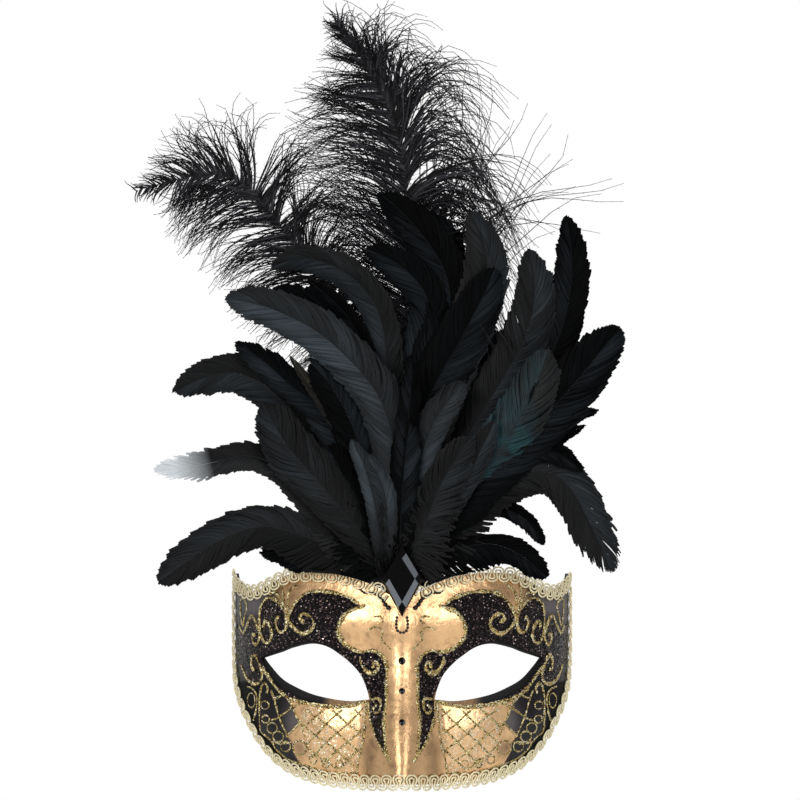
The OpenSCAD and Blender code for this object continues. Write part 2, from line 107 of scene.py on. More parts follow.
# Gold glitter lines, the same on both sides: half width of the line, then its points.
SCROLLS = [
    # Brow line and its curl
    (0.75, GLITTER_BAND[1:7] + [[57.2, 27.4], [54.6, 22.1], [49.7, 18.9], [45.2, 21.2],
                                [44.3, 25.2], [47, 28.3], [50.1, 28.8], [51.4, 26.5],
                                [49.7, 25.2]]),
    # Forehead outline and the two sides of the point beside the nose
    (0.8, GLITTER_BAND[:1] + GLITTER_BAND[:-14:-1] + [[7.4, -41.6], [5.8, -44.3]]),
    (0.6, [[7.4, -42], [11.2, -36.7], [13.9, -30.7], [16.1, -23.7], [16.9, -14.5]]),
    # Temple curls
    (0.62, [[58.1, 29], [58.1, 22.1], [60.4, 19.4], [62.6, 21.2], [63.3, 24.8], [62.2, 27.4]]),
    (0.62, [[57.8, 29], [59.5, 31], [62.2, 34.6], [66.6, 36.8], [70.2, 34.1], [71.5, 29.2],
            [71.5, 22.1], [70.2, 16.3], [68, 14], [65.7, 16.3], [65.7, 20.3], [67.1, 23.9],
            [68.9, 24.8], [69.3, 22.5]]),
    (0.6, [[81.8, 22.5], [80, 18.9], [77.8, 23], [76, 27.4], [74.2, 26.1], [72.4, 21.2],
           [71.5, 17.2], [73.3, 13.1], [75.1, 15.4], [75.1, 18.5], [73.8, 18]]),
    (0.5, [[81.4, 35], [79.6, 36], [78, 32], [79.2, 26.5], [80.1, 22.5], [81, 27], [81.4, 35]]),
    (0.55, [[58.1, 29.2], [59.4, 33.6], [61.7, 37.3], [63.5, 39.5], [65.7, 39]]),
    (0.5, [[58.1, 29.2], [59, 34.6], [59.9, 40.8], [60.8, 43]]),
    (0.45, [[57.2, 31], [57.2, 38.1], [55.5, 41.3], [53.2, 42.6]]),
    (0.62, [[81, 3], [79, -2.6], [76.2, -5.8], [73, -6.6], [70.8, -4.7], [70.3, -1.5], [71.4, 2.3],
            [73.5, 7.2], [74.6, 7.7], [75.7, 5.6], [75.4, 1.2], [74.3, 0.4]]),
    # Line under the lower lid, and the curls at the bridge and beside the nose
    (0.7, [[71.4, 2.3], [67.6, -2], [64.3, -6.9], [60, -11.2], [55.6, -13.9], [48.1, -15.8],
           [39.9, -17.2], [31.8, -17.7], [23.7, -16.6], [17.7, -14.5]]),
    (0.8, [[20.9, 7.7], [20.4, 4], [17.7, 0.2], [14.4, -0.7], [12, 1.2], [12.3, 4], [13.9, 5],
           [14.5, 2.5]]),
    (0.62, [[16.1, -13.9], [11.7, -13.4], [10.6, -16.1], [11.7, -19.9], [13.9, -20.4],
            [14.4, -18.3], [12.8, -16.6]]),
    # Border of the cheek lattice
    (0.5, [[70.3, -6.9], [71.4, -12.3], [71.6, -17.7], [71.1, -29.7], [68.1, -32.9], [65.4, -35.6],
           [63.2, -39.4], [58.9, -43.2], [55.6, -45.1], [48, -47.5], [37.4, -50.5], [26.4, -50.8],
           [22.6, -50.3]]),
    (0.45, [[17.7, -15], [18.2, -23.7], [18.8, -30.2], [19.9, -36.7], [21.5, -43.2],
            [22.6, -50.3]]),
    (0.5, [[70.3, -6.9], [68.7, -6.3], [67.3, -8.5], [67.6, -10.7]]),
    (0.42, [[77.9, -8], [75.2, -9], [73, -12.3], [73, -18.3], [74.6, -24.8]]),
    # Branches down the outer cheek, the lines that cross them, and curls
    (0.42, [[65.7, -9.6], [63.8, -15], [62.1, -21.5], [60, -26.9], [57.3, -32.4]]),
    (0.42, [[60, -11.2], [55.6, -16.1], [52.9, -22.6], [50.8, -26.4], [48.6, -33]]),
    (0.42, [[63.8, -13.9], [59.4, -11.8]]),
    (0.42, [[61.1, -22.6], [55.6, -18.8], [51.2, -16.2]]),
    (0.42, [[65.9, -24.8], [61.6, -23.4]]),
    (0.42, [[57.3, -31.8], [51.3, -25.9]]),
    (0.36, [[17, 21], [13, 22.4], [9.6, 20.4], [10.4, 16.6], [8, 13.8], [5.6, 11]]),
    (0.32, [[14.2, 27.4], [11, 27.8], [9.4, 25.4], [11.4, 24.2]]),
    (0.42, [[65.1, -35.6], [60, -36.4], [55.6, -35.6]]),
]
# Glitter rings on the outer cheek and along its hem: centre, half width and half height.
RINGS = [([75.7, -15], 1.9, 3.7), ([68.7, -17.2], 2, 2), ([68.4, -24.2], 1.9, 1.9),
         ([65.1, -28.6], 2.6, 2.6), ([62.1, -32.9], 2.7, 2.7), ([58.4, -37.8], 2.5, 2.5),
         ([51.3, -38.3], 3.5, 3.5), ([44.6, -44], 1.9, 2.3), ([38.4, -46], 1.8, 2.2),
         ([31.4, -46.4], 1.8, 2)]
# Dots where lines cross and where curls end: place and radius.
DOTS = [([50.8, -26.2], 1), ([57.3, -32.4], 1), ([55.6, -18], 0.8), ([61.6, -23], 0.8),
        ([22.6, -50.3], 1), ([49.7, 25.2], 1.3), ([62.2, 27], 1), ([69.3, 22.6], 1),
        ([73.9, 18.2], 1), ([74.3, 0.6], 1), ([14.3, 2.7], 1.2), ([12.9, -16.8], 1),
        ([65.9, 39], 1.2), ([60.8, 43], 0.8), ([53.2, 42.6], 0.8), ([67.6, -10.7], 0.8),
        ([74.6, -24.8], 0.7), ([5.9, -44.4], 0.9)]

# ---- the crest, front to back, as in the frame ---------------------------------------
# Name, half width left and right of the shaft, height where the vane starts, route.
HACKLES = [
    ("lance_right", 8, 8.5, 60, [[4, 56], [11.5, 73.5], [18, 91], [26.5, 106], [34.5, 117.5]]),
    ("bright_left", 4, 4, 62, [[-10.5, 63.5], [-13, 81], [-18, 101], [-25, 116]]),
    ("bright_centre", 4.5, 4.5, 62, [[-8.5, 61], [-7.5, 81], [-11, 96], [-18.5, 108.5]]),
    ("soft_centre", 6.5, 6.5, 62, [[-1, 61], [0, 86], [1.5, 106], [4, 126]]),
    ("slim_centre", 4.5, 4.5, 68, [[-1, 66], [1.5, 111], [4, 136], [5, 156]]),
    ("short_right", 5.5, 5.5, 62, [[5, 56], [19, 76], [33, 98.5], [40.5, 113.5], [46.5, 125.5]]),
    ("sweep_left", 9.5, 9.5, 74, [[-2, 60], [-3.5, 86], [-4.5, 116], [-12, 138.5], [-26, 156],
                                  [-43.5, 171], [-66, 182], [-88.5, 187.5]]),
    ("green_grey", 7, 7, 68, [[3, 66], [9, 103.5], [14, 121], [21.5, 133.5], [30.5, 144.5]]),
    ("broad_left", 10.5, 10.5, 64, [[-8, 55], [-26, 76], [-42, 95.5], [-56, 111], [-63.5, 123.5],
                                    [-70, 135]]),
    ("inner_left", 8, 8, 66, [[-8.5, 61], [-18.5, 101], [-26, 126], [-36, 143.5], [-46, 155]]),
    ("dark_left", 10, 10, 60, [[-9.5, 55.5], [-23, 84], [-37, 113.5]]),
    ("brown_left", 2.5, 2.5, 68, [[-11, 63.5], [-28.5, 113.5], [-41, 136], [-48.5, 147],
                                  [-56, 158]]),
    ("mid_left", 6.5, 6.5, 66, [[-7, 56], [-21, 86], [-33.5, 116], [-43, 133], [-56, 143.5],
                                [-70, 156], [-83.5, 164.5]]),
    ("iridescent", 11, 11, 62, [[6.5, 58.5], [34, 93.5], [51.5, 116], [61.5, 132], [69, 148.5],
                                [73, 161.5]]),
    ("big_right", 12, 12, 62, [[6.5, 57], [34, 91], [59, 116], [74, 131], [86.5, 144.5], [99, 160],
                               [109, 172]]),
    ("arched_right", 5, 5, 62, [[5, 58], [34, 86], [59, 107], [74, 110], [83, 106], [90, 100.5]]),
    ("droop_right", 9.5, 9.5, 60, [[4, 56], [34, 83.5], [54, 96], [71.5, 100], [84, 92], [95, 72],
                                   [105, 49.5]]),
    ("low_right", 6, 6, 56, [[5, 56], [24, 61], [44, 64], [59, 58.5], [73, 47]]),
    ("low_left_long", 9, 9, 58, [[-8.5, 54.5], [-31, 62], [-51, 68.5], [-66, 72.5], [-78.5, 71],
                                 [-93.5, 64.5], [-108.5, 54.5], [-122, 44.5]]),
    ("pale_tip_left", 6, 6, 60, [[-8.5, 55], [-31, 70], [-46, 85], [-56, 97], [-66, 104.5],
                                 [-78.5, 108], [-93.5, 105], [-108.5, 102], [-124, 101]]),
    ("upper_left", 9, 9, 66, [[-8.5, 55], [-28.5, 93.5], [-47, 121], [-61.5, 137.5], [-71, 145],
                              [-84, 149.5], [-99.5, 147], [-114, 140]]),
    ("high_centre", 11, 11, 80, [[1.5, 71], [8, 121], [16.5, 143.5], [26.5, 161], [35, 177],
                                 [42, 191], [46.5, 202.5]]),
    ("high_left_slim", 4.5, 4.5, 80, [[-2, 61], [-6, 101], [-13.5, 141], [-20, 163.5], [-27, 177],
                                      [-36, 187], [-47, 196]]),
    ("high_left_arch", 7, 7, 90, [[-2, 76], [-5, 116], [-7, 146], [-9, 168.5], [-13.5, 183.5],
                                  [-23.5, 196], [-37.5, 204.5], [-51.5, 207], [-65.5, 202.5]]),
    ("crown_right", 10, 10, 80, [[1.5, 66], [11.5, 116], [26.5, 156], [39, 186], [42.5, 203.5],
                                 [40, 217], [34, 230.5]]),
    ("crown_centre", 10, 10, 90, [[0.5, 71], [9, 136], [18, 161], [24, 181], [22, 198.5],
                                  [14, 213.5], [1.5, 228.5], [-11, 240]]),
    ("crown_left", 8.5, 8.5, 100, [[-1, 96], [3, 146], [10, 163.5], [14, 180], [9, 193.5],
                                   [-3.5, 205], [-17.5, 211.5]]),
    ("blunt_right", 10, 10, 80, [[5, 61], [31.5, 116], [51.5, 148.5], [63, 171], [66.5, 191],
                                 [64, 211.5]]),
    ("upright_right", 8, 8, 80, [[5, 58], [29, 91], [59, 131], [77, 163.5], [84, 188.5], [85, 208.5],
                                 [82.5, 229]]),
    ("thin_right_upper", 4.5, 4.5, 64, [[5, 58], [39, 93.5], [66.5, 118.5], [81.5, 127],
                                        [97.5, 130.5]]),
    ("thin_right_lower", 3.5, 3.5, 64, [[5, 58], [59, 107], [76.5, 116], [91, 123]]),
    ("sparse_right", 4, 4, 62, [[5, 57], [29, 75], [46.5, 82.5], [61.5, 76], [71.5, 63.5]]),
    ("low_left_fluffy", 5.5, 5.5, 54, [[-8.5, 53], [-31, 55], [-51, 58], [-70, 60]]),
    ("crown_back", 7, 7, 110, [[1, 80], [14, 140], [27, 176], [29, 192.5], [26, 202], [20.5, 220.5],
                               [9, 229.5]]),
    ("filler_right", 10, 10, 90, [[6.5, 66], [29, 121], [41.5, 151], [49, 171]]),
    ("filler_left", 9, 9, 100, [[-4, 96], [-16, 146], [-36, 176], [-66, 191]])]
OSTRICH = [
    ("ostrich_top", 40, 34, 150, [[-1, 60], [1, 136], [2.5, 211], [2.5, 235.5], [0, 258.5],
                                  [-6, 281], [-16.5, 301], [-26, 316], [-35, 328]]),
    ("ostrich_left", 24, 30, 150, [[-5, 66], [-18.5, 146], [-36, 191], [-53.5, 213.5], [-66, 230],
                                   [-78.5, 243.5], [-93.5, 249.5], [-111, 247], [-136, 240.5]]),
    ("ostrich_right", 14, 26, 150, [[1.5, 66], [14, 161], [19, 211], [25, 246], [30, 271],
                                    [30, 300]])]
PLUMES = HACKLES + OSTRICH
FAN_CENTRE = np.array([-1.0, 30.0])
PER_ROW = 13
QUILL_Z = 24.0
ROW_Y = BASE_Y + 1.1
ROW_STEP = 1.0
QUILL_PITCH = 1.3
LAYER_GAP = 0.42
LAYER_FAN = 0.0042
# How each feather's vane turns about its shaft, in degrees at the base and at the tip.
TWISTS = {"sweep_left": (28, -30), "lance_right": (-24, 18), "broad_left": (20, -14),
          "pale_tip_left": (24, 46), "low_left_long": (-30, 22), "droop_right": (26, -28),
          "big_right": (-26, 20), "upper_left": (30, -26), "high_centre": (-28, 22),
          "crown_centre": (28, -24), "crown_right": (-22, 26), "blunt_right": (-30, 16),
          "iridescent": (22, -18), "bright_left": (34, 12), "bright_centre": (-34, 10),
          "high_left_arch": (30, -30), "upright_right": (24, -32)}
# How satiny some of the feathers are, from 0 to 1: it lightens their colour as painted sheen, and
# above 0.35 gives them the glossier satin material.
SHEEN = {"sweep_left": 0.95, "bright_left": 0.9, "bright_centre": 0.85, "broad_left": 0.45,
         "green_grey": 0.6, "crown_right": 0.5, "high_left_arch": 0.55, "upper_left": 0.4,
         "blunt_right": 0.45, "droop_right": 0.4, "lance_right": 0.4, "inner_left": 0.3,
         "low_left_long": 0.4, "high_centre": 0.3, "mid_left": 0.35, "big_right": 0.3,
         "short_right": 0.5, "crown_left": 0.35, "soft_centre": 0.3, "iridescent": 0.15}
# Feathers whose down hangs to the shell's top edge, those whose tips fray, and those with
# loose down over more of their length.
LOWEST = {"low_left_fluffy", "low_left_long", "low_right", "droop_right", "dark_left",
          "lance_right", "pale_tip_left"}
WISPY = {"pale_tip_left", "droop_right"}
DOWNY = {"low_left_fluffy", "low_right", "sparse_right", "broad_left", "thin_right_lower"}


# ---- settings that a user would change ------------------------------------------------

def linear(code):
    """An sRGB hex colour as linear red, green and blue."""
    shares = [int(code[i:i + 2], 16) / 255 for i in (1, 3, 5)]
    return [s / 12.92 if s <= 0.04045 else ((s + 0.055) / 1.055) ** 2.4 for s in shares]


def colour(label, code):
    """A colour setting with an sRGB hex default."""
    return FloatVectorProperty(name=label, description=f"Colour of the {label.lower()}",
                               default=linear(code), subtype="COLOR", size=3, min=0, max=1)


def length(label, description, millimetres):
    """A length setting, kept in metres, with its default in millimetres."""
    return FloatProperty(name=label, description=description, default=millimetres * MM,
                         min=0, unit="LENGTH", subtype="DISTANCE", precision=5)


def number(label, description, default, least=0, unit="NONE"):
    """A setting that is a plain number."""
    return FloatProperty(name=label, description=description, default=default, min=least,
                         unit=unit)


class ShellSettings(bpy.types.PropertyGroup):
    """Sizes and colours of the moulded shell and of what is painted on it."""
    foil: colour("Gold foil", "#e6bb8b")
    # Colour of the brown shade painted onto the foil beside and down the nose, over the brow and at
    # the bridge.
    painted_shade_colour: colour("Brown glaze in the foil's creases", "#7d6146")
    band: colour("Black glitter", "#0d0a0c")
    temple: colour("Black paint on the temples", "#171416")
    worn: colour("Grey where the temples' paint is thin", "#5f585a")
    rim: colour("Paint on the eye hole rims", "#0c0b0c")
    rim_nose: colour("Rims beside the nose", "#8c683e")
    lining: colour("Lining", "#131215")
    lines: colour("Gold glitter lines", "#b3985a")
    grain: length("Grain", "Size of one glitter grain", 0.5)
    line_height: length("Line height", "How far the glitter lines stand out", 0.4)


class TrimSettings(bpy.types.PropertyGroup):
    """Sizes and colours of the braid, jewel, stones, beads, thread and felt."""
    braid: colour("Gold braid", "#fff5cf")
    cord_radius: length("Braid cord radius", "Radius of each of the braid's cords", 0.5)
    braid_pitch: length("Braid pitch", "Distance from one scroll of the braid to the next", 6.9)
    jewel: colour("Jewel", "#060607")
    bead: colour("Beads and stones", "#120c0b")
    thread: colour("Binding thread", "#29231d")
    felt: colour("Felt", "#1d1d20")


class CrestSettings(bpy.types.PropertyGroup):
    """Sizes and colours of the feathers."""
    black: colour("Black feathers", "#040506")
    brown: colour("Brown feather", "#120f0a")
    green: colour("Green of the iridescent feather", "#03080a")
    blue: colour("Blue of the iridescent feather", "#0e3238")
    pale: colour("Pale tip", "#c9ced2")
    ostrich: colour("Ostrich plumes", "#050506")
    barb_pitch: length("Barb pitch", "Distance between barbs along a shaft", 0.62)
    strand_pitch: length("Strand pitch", "Distance between an ostrich plume's strands", 0.5)
    seed: IntProperty(name="Seed", description="Seed for the lie of the barbs", default=7, min=0)


class StageSettings(bpy.types.PropertyGroup):
    """Sizes and strengths of the camera's place, the floor and the lights."""
    distance: number("Camera distance", "From the origin to the camera", 8, 1, "LENGTH")
    lens: number("Lens", "Focal length", 720, 50, "CAMERA")
    eye_height: length("Camera height", "Height of the camera", 136)
    floor_drop: length("Floor drop", "How far the floor lies below the origin", 300)
    key: number("Key light", "Power of the left light", 15, unit="POWER")
    fill: number("Fill light", "Power of the right and top lights", 11, unit="POWER")
    sky: number("Sky", "Strength of the light from all round", 0.62)


GROUPS = {"mask_shell_settings": ShellSettings, "mask_trim_settings": TrimSettings,
          "mask_crest_settings": CrestSettings, "mask_stage_settings": StageSettings}


# ---- curves and the shell's surface ---------------------------------------------------

def ramp(x):
    """Goes smoothly from 0 at 0 to 1 at 1."""
    t = np.clip(x, 0, 1)
    return t * t * (3 - 2 * t)


def bell(x):
    """A bell curve of height 1."""
    return np.exp(-x * x)


def unit(v):
    """Vectors along the last axis, made 1 long."""
    return v / np.maximum(np.linalg.norm(v, axis=-1, keepdims=True), 1e-12)


def evenly(points, count):
    """The smooth curve through points as count + 1 places at equal steps.

    Between two points it is the cubic whose slope at each point is half the chord between
    that point's neighbours."""
    pts = np.asarray(points, float)
    padded = np.vstack([2 * pts[0] - pts[1], pts, 2 * pts[-1] - pts[-2]])
    steps = np.linalg.norm(np.diff(pts, axis=0), axis=1)
    reached = np.concatenate([[0], np.cumsum(steps)])
    u = np.interp(np.linspace(0, reached[-1], count + 1), reached, np.arange(len(pts)))
    i = np.minimum(u.astype(int), len(pts) - 2)
    t = (u - i)[:, None]
    a, b, c, d = (padded[i + j] for j in range(4))
    return 0.5 * (2 * b + (c - a) * t + (2 * a - 5 * b + 4 * c - d) * t ** 2
                  + (3 * b - a - 3 * c + d) * t ** 3)


def steps_of(points):
    """Distance reached along a row of points, at each of them."""
    gaps = np.linalg.norm(np.diff(points, axis=0), axis=1)
    return np.concatenate([[0], np.cumsum(gaps)])


def values_at(at, reached, values):
    """Each column of values at distances at, where reached are its rows' own distances."""
    return np.stack([np.interp(at, reached, column) for column in values.T], -1)


def left_of(way):
    """Directions in a plane, turned a quarter to the left."""
    return np.stack([-way[..., 1], way[..., 0]], -1)


def nose(a, z):
    """The nose's ridge: a smooth hump across, narrow and low at the brow, wide and high below."""
    rise = np.tanh((z + 18) / 38)
    q = np.minimum(np.abs(a) / (21 - 9.5 * rise), 1)
    return (12.5 - 0.93 * 12.5 * rise) * (1 - q * q) ** 2


def relief(a, z):
    """Brow and cheeks as bells, less the eye sockets and the set-back top edge."""
    return (3 * bell((z - 25) / 12) * bell(a / 90)
            + 4 * bell((z + 30) / 18) * bell((np.abs(a) - 42) / 26)
            - 4 * bell((np.abs(a) - 46) / 28) * bell(z / 14)
            - 4 * ramp((z - 30) / 20) * (1 - bell(a / 30)))


def half_width(z):
    """Half width of the shell at a height: it narrows with the square of the drop below -5."""
    return HALF_W - 0.0085 * np.minimum(z + 5, 0) ** 2


def skin_at(a, z):
    """The shell's outer surface: a bent sheet whose x is a sine and whose depth is 1 less a
    power of the cosine of the turn a / radius, with the nose and relief standing out."""
    a, z = np.broadcast_arrays(np.asarray(a, float), np.asarray(z, float))
    turn = a / TURN_RADIUS
    back = WRAP_DEPTH * (1 - np.maximum(np.cos(turn), 0.001) ** 0.85)
    y = BASE_Y + back - nose(a, z) - relief(a, z)
    return np.stack([half_width(z) * np.sin(turn), y, z], -1)


def inward(a, z):
    """Direction from the outer surface to the wearer: the cross product of its two slopes."""
    up = skin_at(a, np.add(z, 0.5)) - skin_at(a, np.add(z, -0.5))
    across = skin_at(np.add(a, 0.5), z) - skin_at(np.add(a, -0.5), z)
    return unit(np.cross(up, across))


def at_depth(places, depth):
    """Points at a depth behind the outer surface, from [a, z] places. Minus is in front."""
    a, z = places[..., 0], places[..., 1]
    return skin_at(a, z) + np.asarray(depth)[..., None] * inward(a, z)


def unrolled(seen):
    """[a, z] places on the shell from [x, z] places seen from the front."""
    seen = np.asarray(seen, float)
    a = TURN_RADIUS * np.arcsin(np.clip(seen[:, 0] / half_width(seen[:, 1]), -1, 1))
    return np.stack([a, seen[:, 1]], -1)


# ---- meshes ---------------------------------------------------------------------------

def painted(mesh, attributes):
    """Gives a mesh named values at its points."""
    for label, values in attributes.items():
        layer = mesh.attributes.new(label, "FLOAT", "POINT")
        layer.data.foreach_set("value", np.asarray(values, np.float32).ravel())


def build(name, points, *faces, attributes=None, flat=False):
    """An object from points in millimetres and whole arrays of faces, (count, corners)."""
    mesh = bpy.data.meshes.new(name)
    points = np.asarray(points, float).reshape(-1, 3)
    corners = np.concatenate([f.ravel() for f in faces]).astype(np.int32)
    sizes = np.concatenate([np.full(len(f), f.shape[1]) for f in faces])
    mesh.vertices.add(len(points))
    mesh.vertices.foreach_set("co", (points * MM).astype(np.float32).ravel())
    mesh.loops.add(len(corners))
    mesh.loops.foreach_set("vertex_index", corners)
    mesh.polygons.add(len(sizes))
    starts = np.concatenate([[0], np.cumsum(sizes)[:-1]])
    mesh.polygons.foreach_set("loop_start", starts.astype(np.int32))
    mesh.update(calc_edges=True)
    if mesh.validate():
        raise RuntimeError(f"{name} has faces that don't hold together")
    if flat:
        mesh.shade_flat()
    else:
        mesh.shade_smooth()
    painted(mesh, attributes or {})
    piece = bpy.data.objects.new(name, mesh)
    bpy.context.scene.collection.objects.link(piece)
    return piece


def grid_faces(rows, cols, wrap_rows=False, wrap_cols=False, first=0):
    """Quads of a grid of points, numbered row by row, closed round either way if asked."""
    i = np.arange(rows if wrap_rows else rows - 1)[:, None]
    j = np.arange(cols if wrap_cols else cols - 1)[None, :]
    a = i * cols + j
    b = i * cols + (j + 1) % cols
    c = (i + 1) % rows * cols + (j + 1) % cols
    d = (i + 1) % rows * cols + j
    return first + np.stack(np.broadcast_arrays(a, b, c, d), -1).reshape(-1, 4)


def tube(rings):
    """Quads and end fans for rings of points, (count, sides, 3), each anticlockwise seen from
    the end that the tube runs to. Returns points, quads and triangles."""
    count, sides = rings.shape[:2]
    k = np.arange(1, sides - 1)
    start = np.stack([0 * k, k + 1, k], -1)
    end = np.stack([0 * k, k, k + 1], -1) + (count - 1) * sides
    return rings.reshape(-1, 3), grid_faces(count, sides, wrap_cols=True), np.vstack([start, end])


def joined(parts):
    """Several (points, quads, triangles) as one."""
    firsts = np.cumsum([0] + [len(p[0]) for p in parts])
    return (np.vstack([p[0] for p in parts]),
            np.vstack([p[1] + f for p, f in zip(parts, firsts)]),
            np.vstack([p[2] + f for p, f in zip(parts, firsts)]))


def frames(path, outward):
    """Directions along a path and across it, given the direction away from what it lies on."""
    along = unit(np.gradient(path, axis=0))
    across = unit(np.cross(along, outward))
    return along, across, np.cross(across, along)


def round_cord(path, outward, radius, sides=7):
    """A cord: circles of the given radii (count, sides) or (count, 1) round a path."""
    _, across, out = frames(path, outward)
    phi = np.arange(sides) * 2 * math.pi / sides
    ring = across[:, None] * np.cos(phi)[:, None] + out[:, None] * np.sin(phi)[:, None]
    return tube(path[:, None] + ring[:, ::-1] * radius[:, :, None])


def twist_of(path, sides, lay):
    """How far each point of a cord stands on the back of a wrap, from 0 to 1: two wraps run
    round it, and turn once in each lay."""
    phi = np.arange(sides) * 2 * math.pi / sides
    return 0.5 + 0.5 * np.cos(2 * phi - steps_of(path)[:, None] * 2 * math.pi / lay)


def ball(centre, radius, rings=8, sides=12):
    """A sphere: circles whose radius follows a sine from pole to pole. radius may be
    three numbers, for an ellipsoid."""
    v = np.linspace(0.02, 1, rings + 1)[:, None] * 0.98 * math.pi
    u = np.arange(sides)[None, :] * 2 * math.pi / sides
    shell = np.stack(np.broadcast_arrays(np.sin(v) * np.cos(u), np.sin(v) * np.sin(u),
                                         -np.cos(v)), -1)
    return tube(np.asarray(centre) + shell * np.asarray(radius))


def finished(piece, material, slot, *nodes):
    """Gives a piece its material, hides the nodes that it stands for, and rides it. slot is not
    used.
    """
    piece.data.materials.append(material)
    if nodes:
        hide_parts(*nodes)
    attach(piece, "root")
    return piece


# ---- materials ------------------------------------------------------------------------

def plug(tree, node, inputs):
    """Sets a node's inputs, each to a value or to a link from a socket."""
    for name, value in inputs.items():
        if isinstance(value, bpy.types.NodeSocket):
            tree.links.new(value, node.inputs[name])
        else:
            node.inputs[name].default_value = value


def add(tree, kind, inputs=None, stops=(), **choices):
    """Adds a node with its choices, its colour stops, and each input's value or link."""
    node = tree.nodes.new("ShaderNode" + kind)
    for name, value in choices.items():
        setattr(node, name, value)
    for place, (at, shade) in enumerate(stops):
        elements = node.color_ramp.elements
        stop = elements[place] if place < 2 else elements.new(at)
        stop.position = at
        stop.color = (*shade, 1)
    plug(tree, node, inputs or {})
    return node


def new_material(name):
    """An empty material with its node tree and principled shader."""
    material = bpy.data.materials.new(name)
    material.use_nodes = True
    return material, material.node_tree, material.node_tree.nodes["Principled BSDF"]


def shaded(share, shade):
    """A colour made darker or lighter."""
    return [min(c * share, 1) for c in shade]


def rgba(shade):
    """A colour with full opacity, for a socket."""
    return (*shade, 1)


def mixed(tree, amount, first, second):
    """A blend of two colours, from all of the first at 0 to all of the second at 1. Each is a
    colour's three numbers or a socket."""
    ends = [c if isinstance(c, bpy.types.NodeSocket) else rgba(c) for c in (first, second)]
    node = add(tree, "Mix", {0: amount, 6: ends[0], 7: ends[1]}, data_type="RGBA")
    return node.outputs[2]


def object_place(tree):
    """Places in the piece's own coordinates, which stay with it as it moves."""
    return add(tree, "TexCoord").outputs["Object"]


def own(tree, name):
    """A value that the mesh carries at each of its points."""
    return add(tree, "Attribute", attribute_name=name).outputs["Fac"]


def ranged(tree, value, low=0.0, high=1.0, start=0.0, end=1.0):
    """A value taken from the range low to high over to the range start to end, and kept in it."""
    node = add(tree, "MapRange", {"Value": value, 1: low, 2: high, 3: start, 4: end})
    return node.outputs[0]


def noise(tree, where, size, detail, **inputs):
    """Cloudy noise whose blotches are about size across, in metres."""
    node = add(tree, "TexNoise", {"Vector": where, "Scale": 1 / size, "Detail": detail, **inputs})
    return node.outputs["Fac"]


def ramped(tree, value, stops, interpolation="LINEAR"):
    """Colours picked by a value. The first two stops are the ramp's own ends."""
    node = add(tree, "ValToRGB", {"Fac": value}, stops=stops)
    node.color_ramp.interpolation = interpolation
    return node.outputs["Color"]


def glitter(tree, where, grain, tilt):
    """Grains of glitter: random shades from cells, and normals tilted at random cell by cell."""
    cells = add(tree, "TexVoronoi", {"Vector": where, "Scale": 1 / grain})
    turned = add(tree, "VectorMath", {0: cells.outputs["Color"], 1: (0.5, 0.5, 0.5)},
                 operation="SUBTRACT")
    scaled = add(tree, "VectorMath", {0: turned.outputs[0], "Scale": tilt}, operation="SCALE")
    split = add(tree, "SeparateColor", {"Color": cells.outputs["Color"]})
    return split.outputs["Red"], scaled.outputs[0]


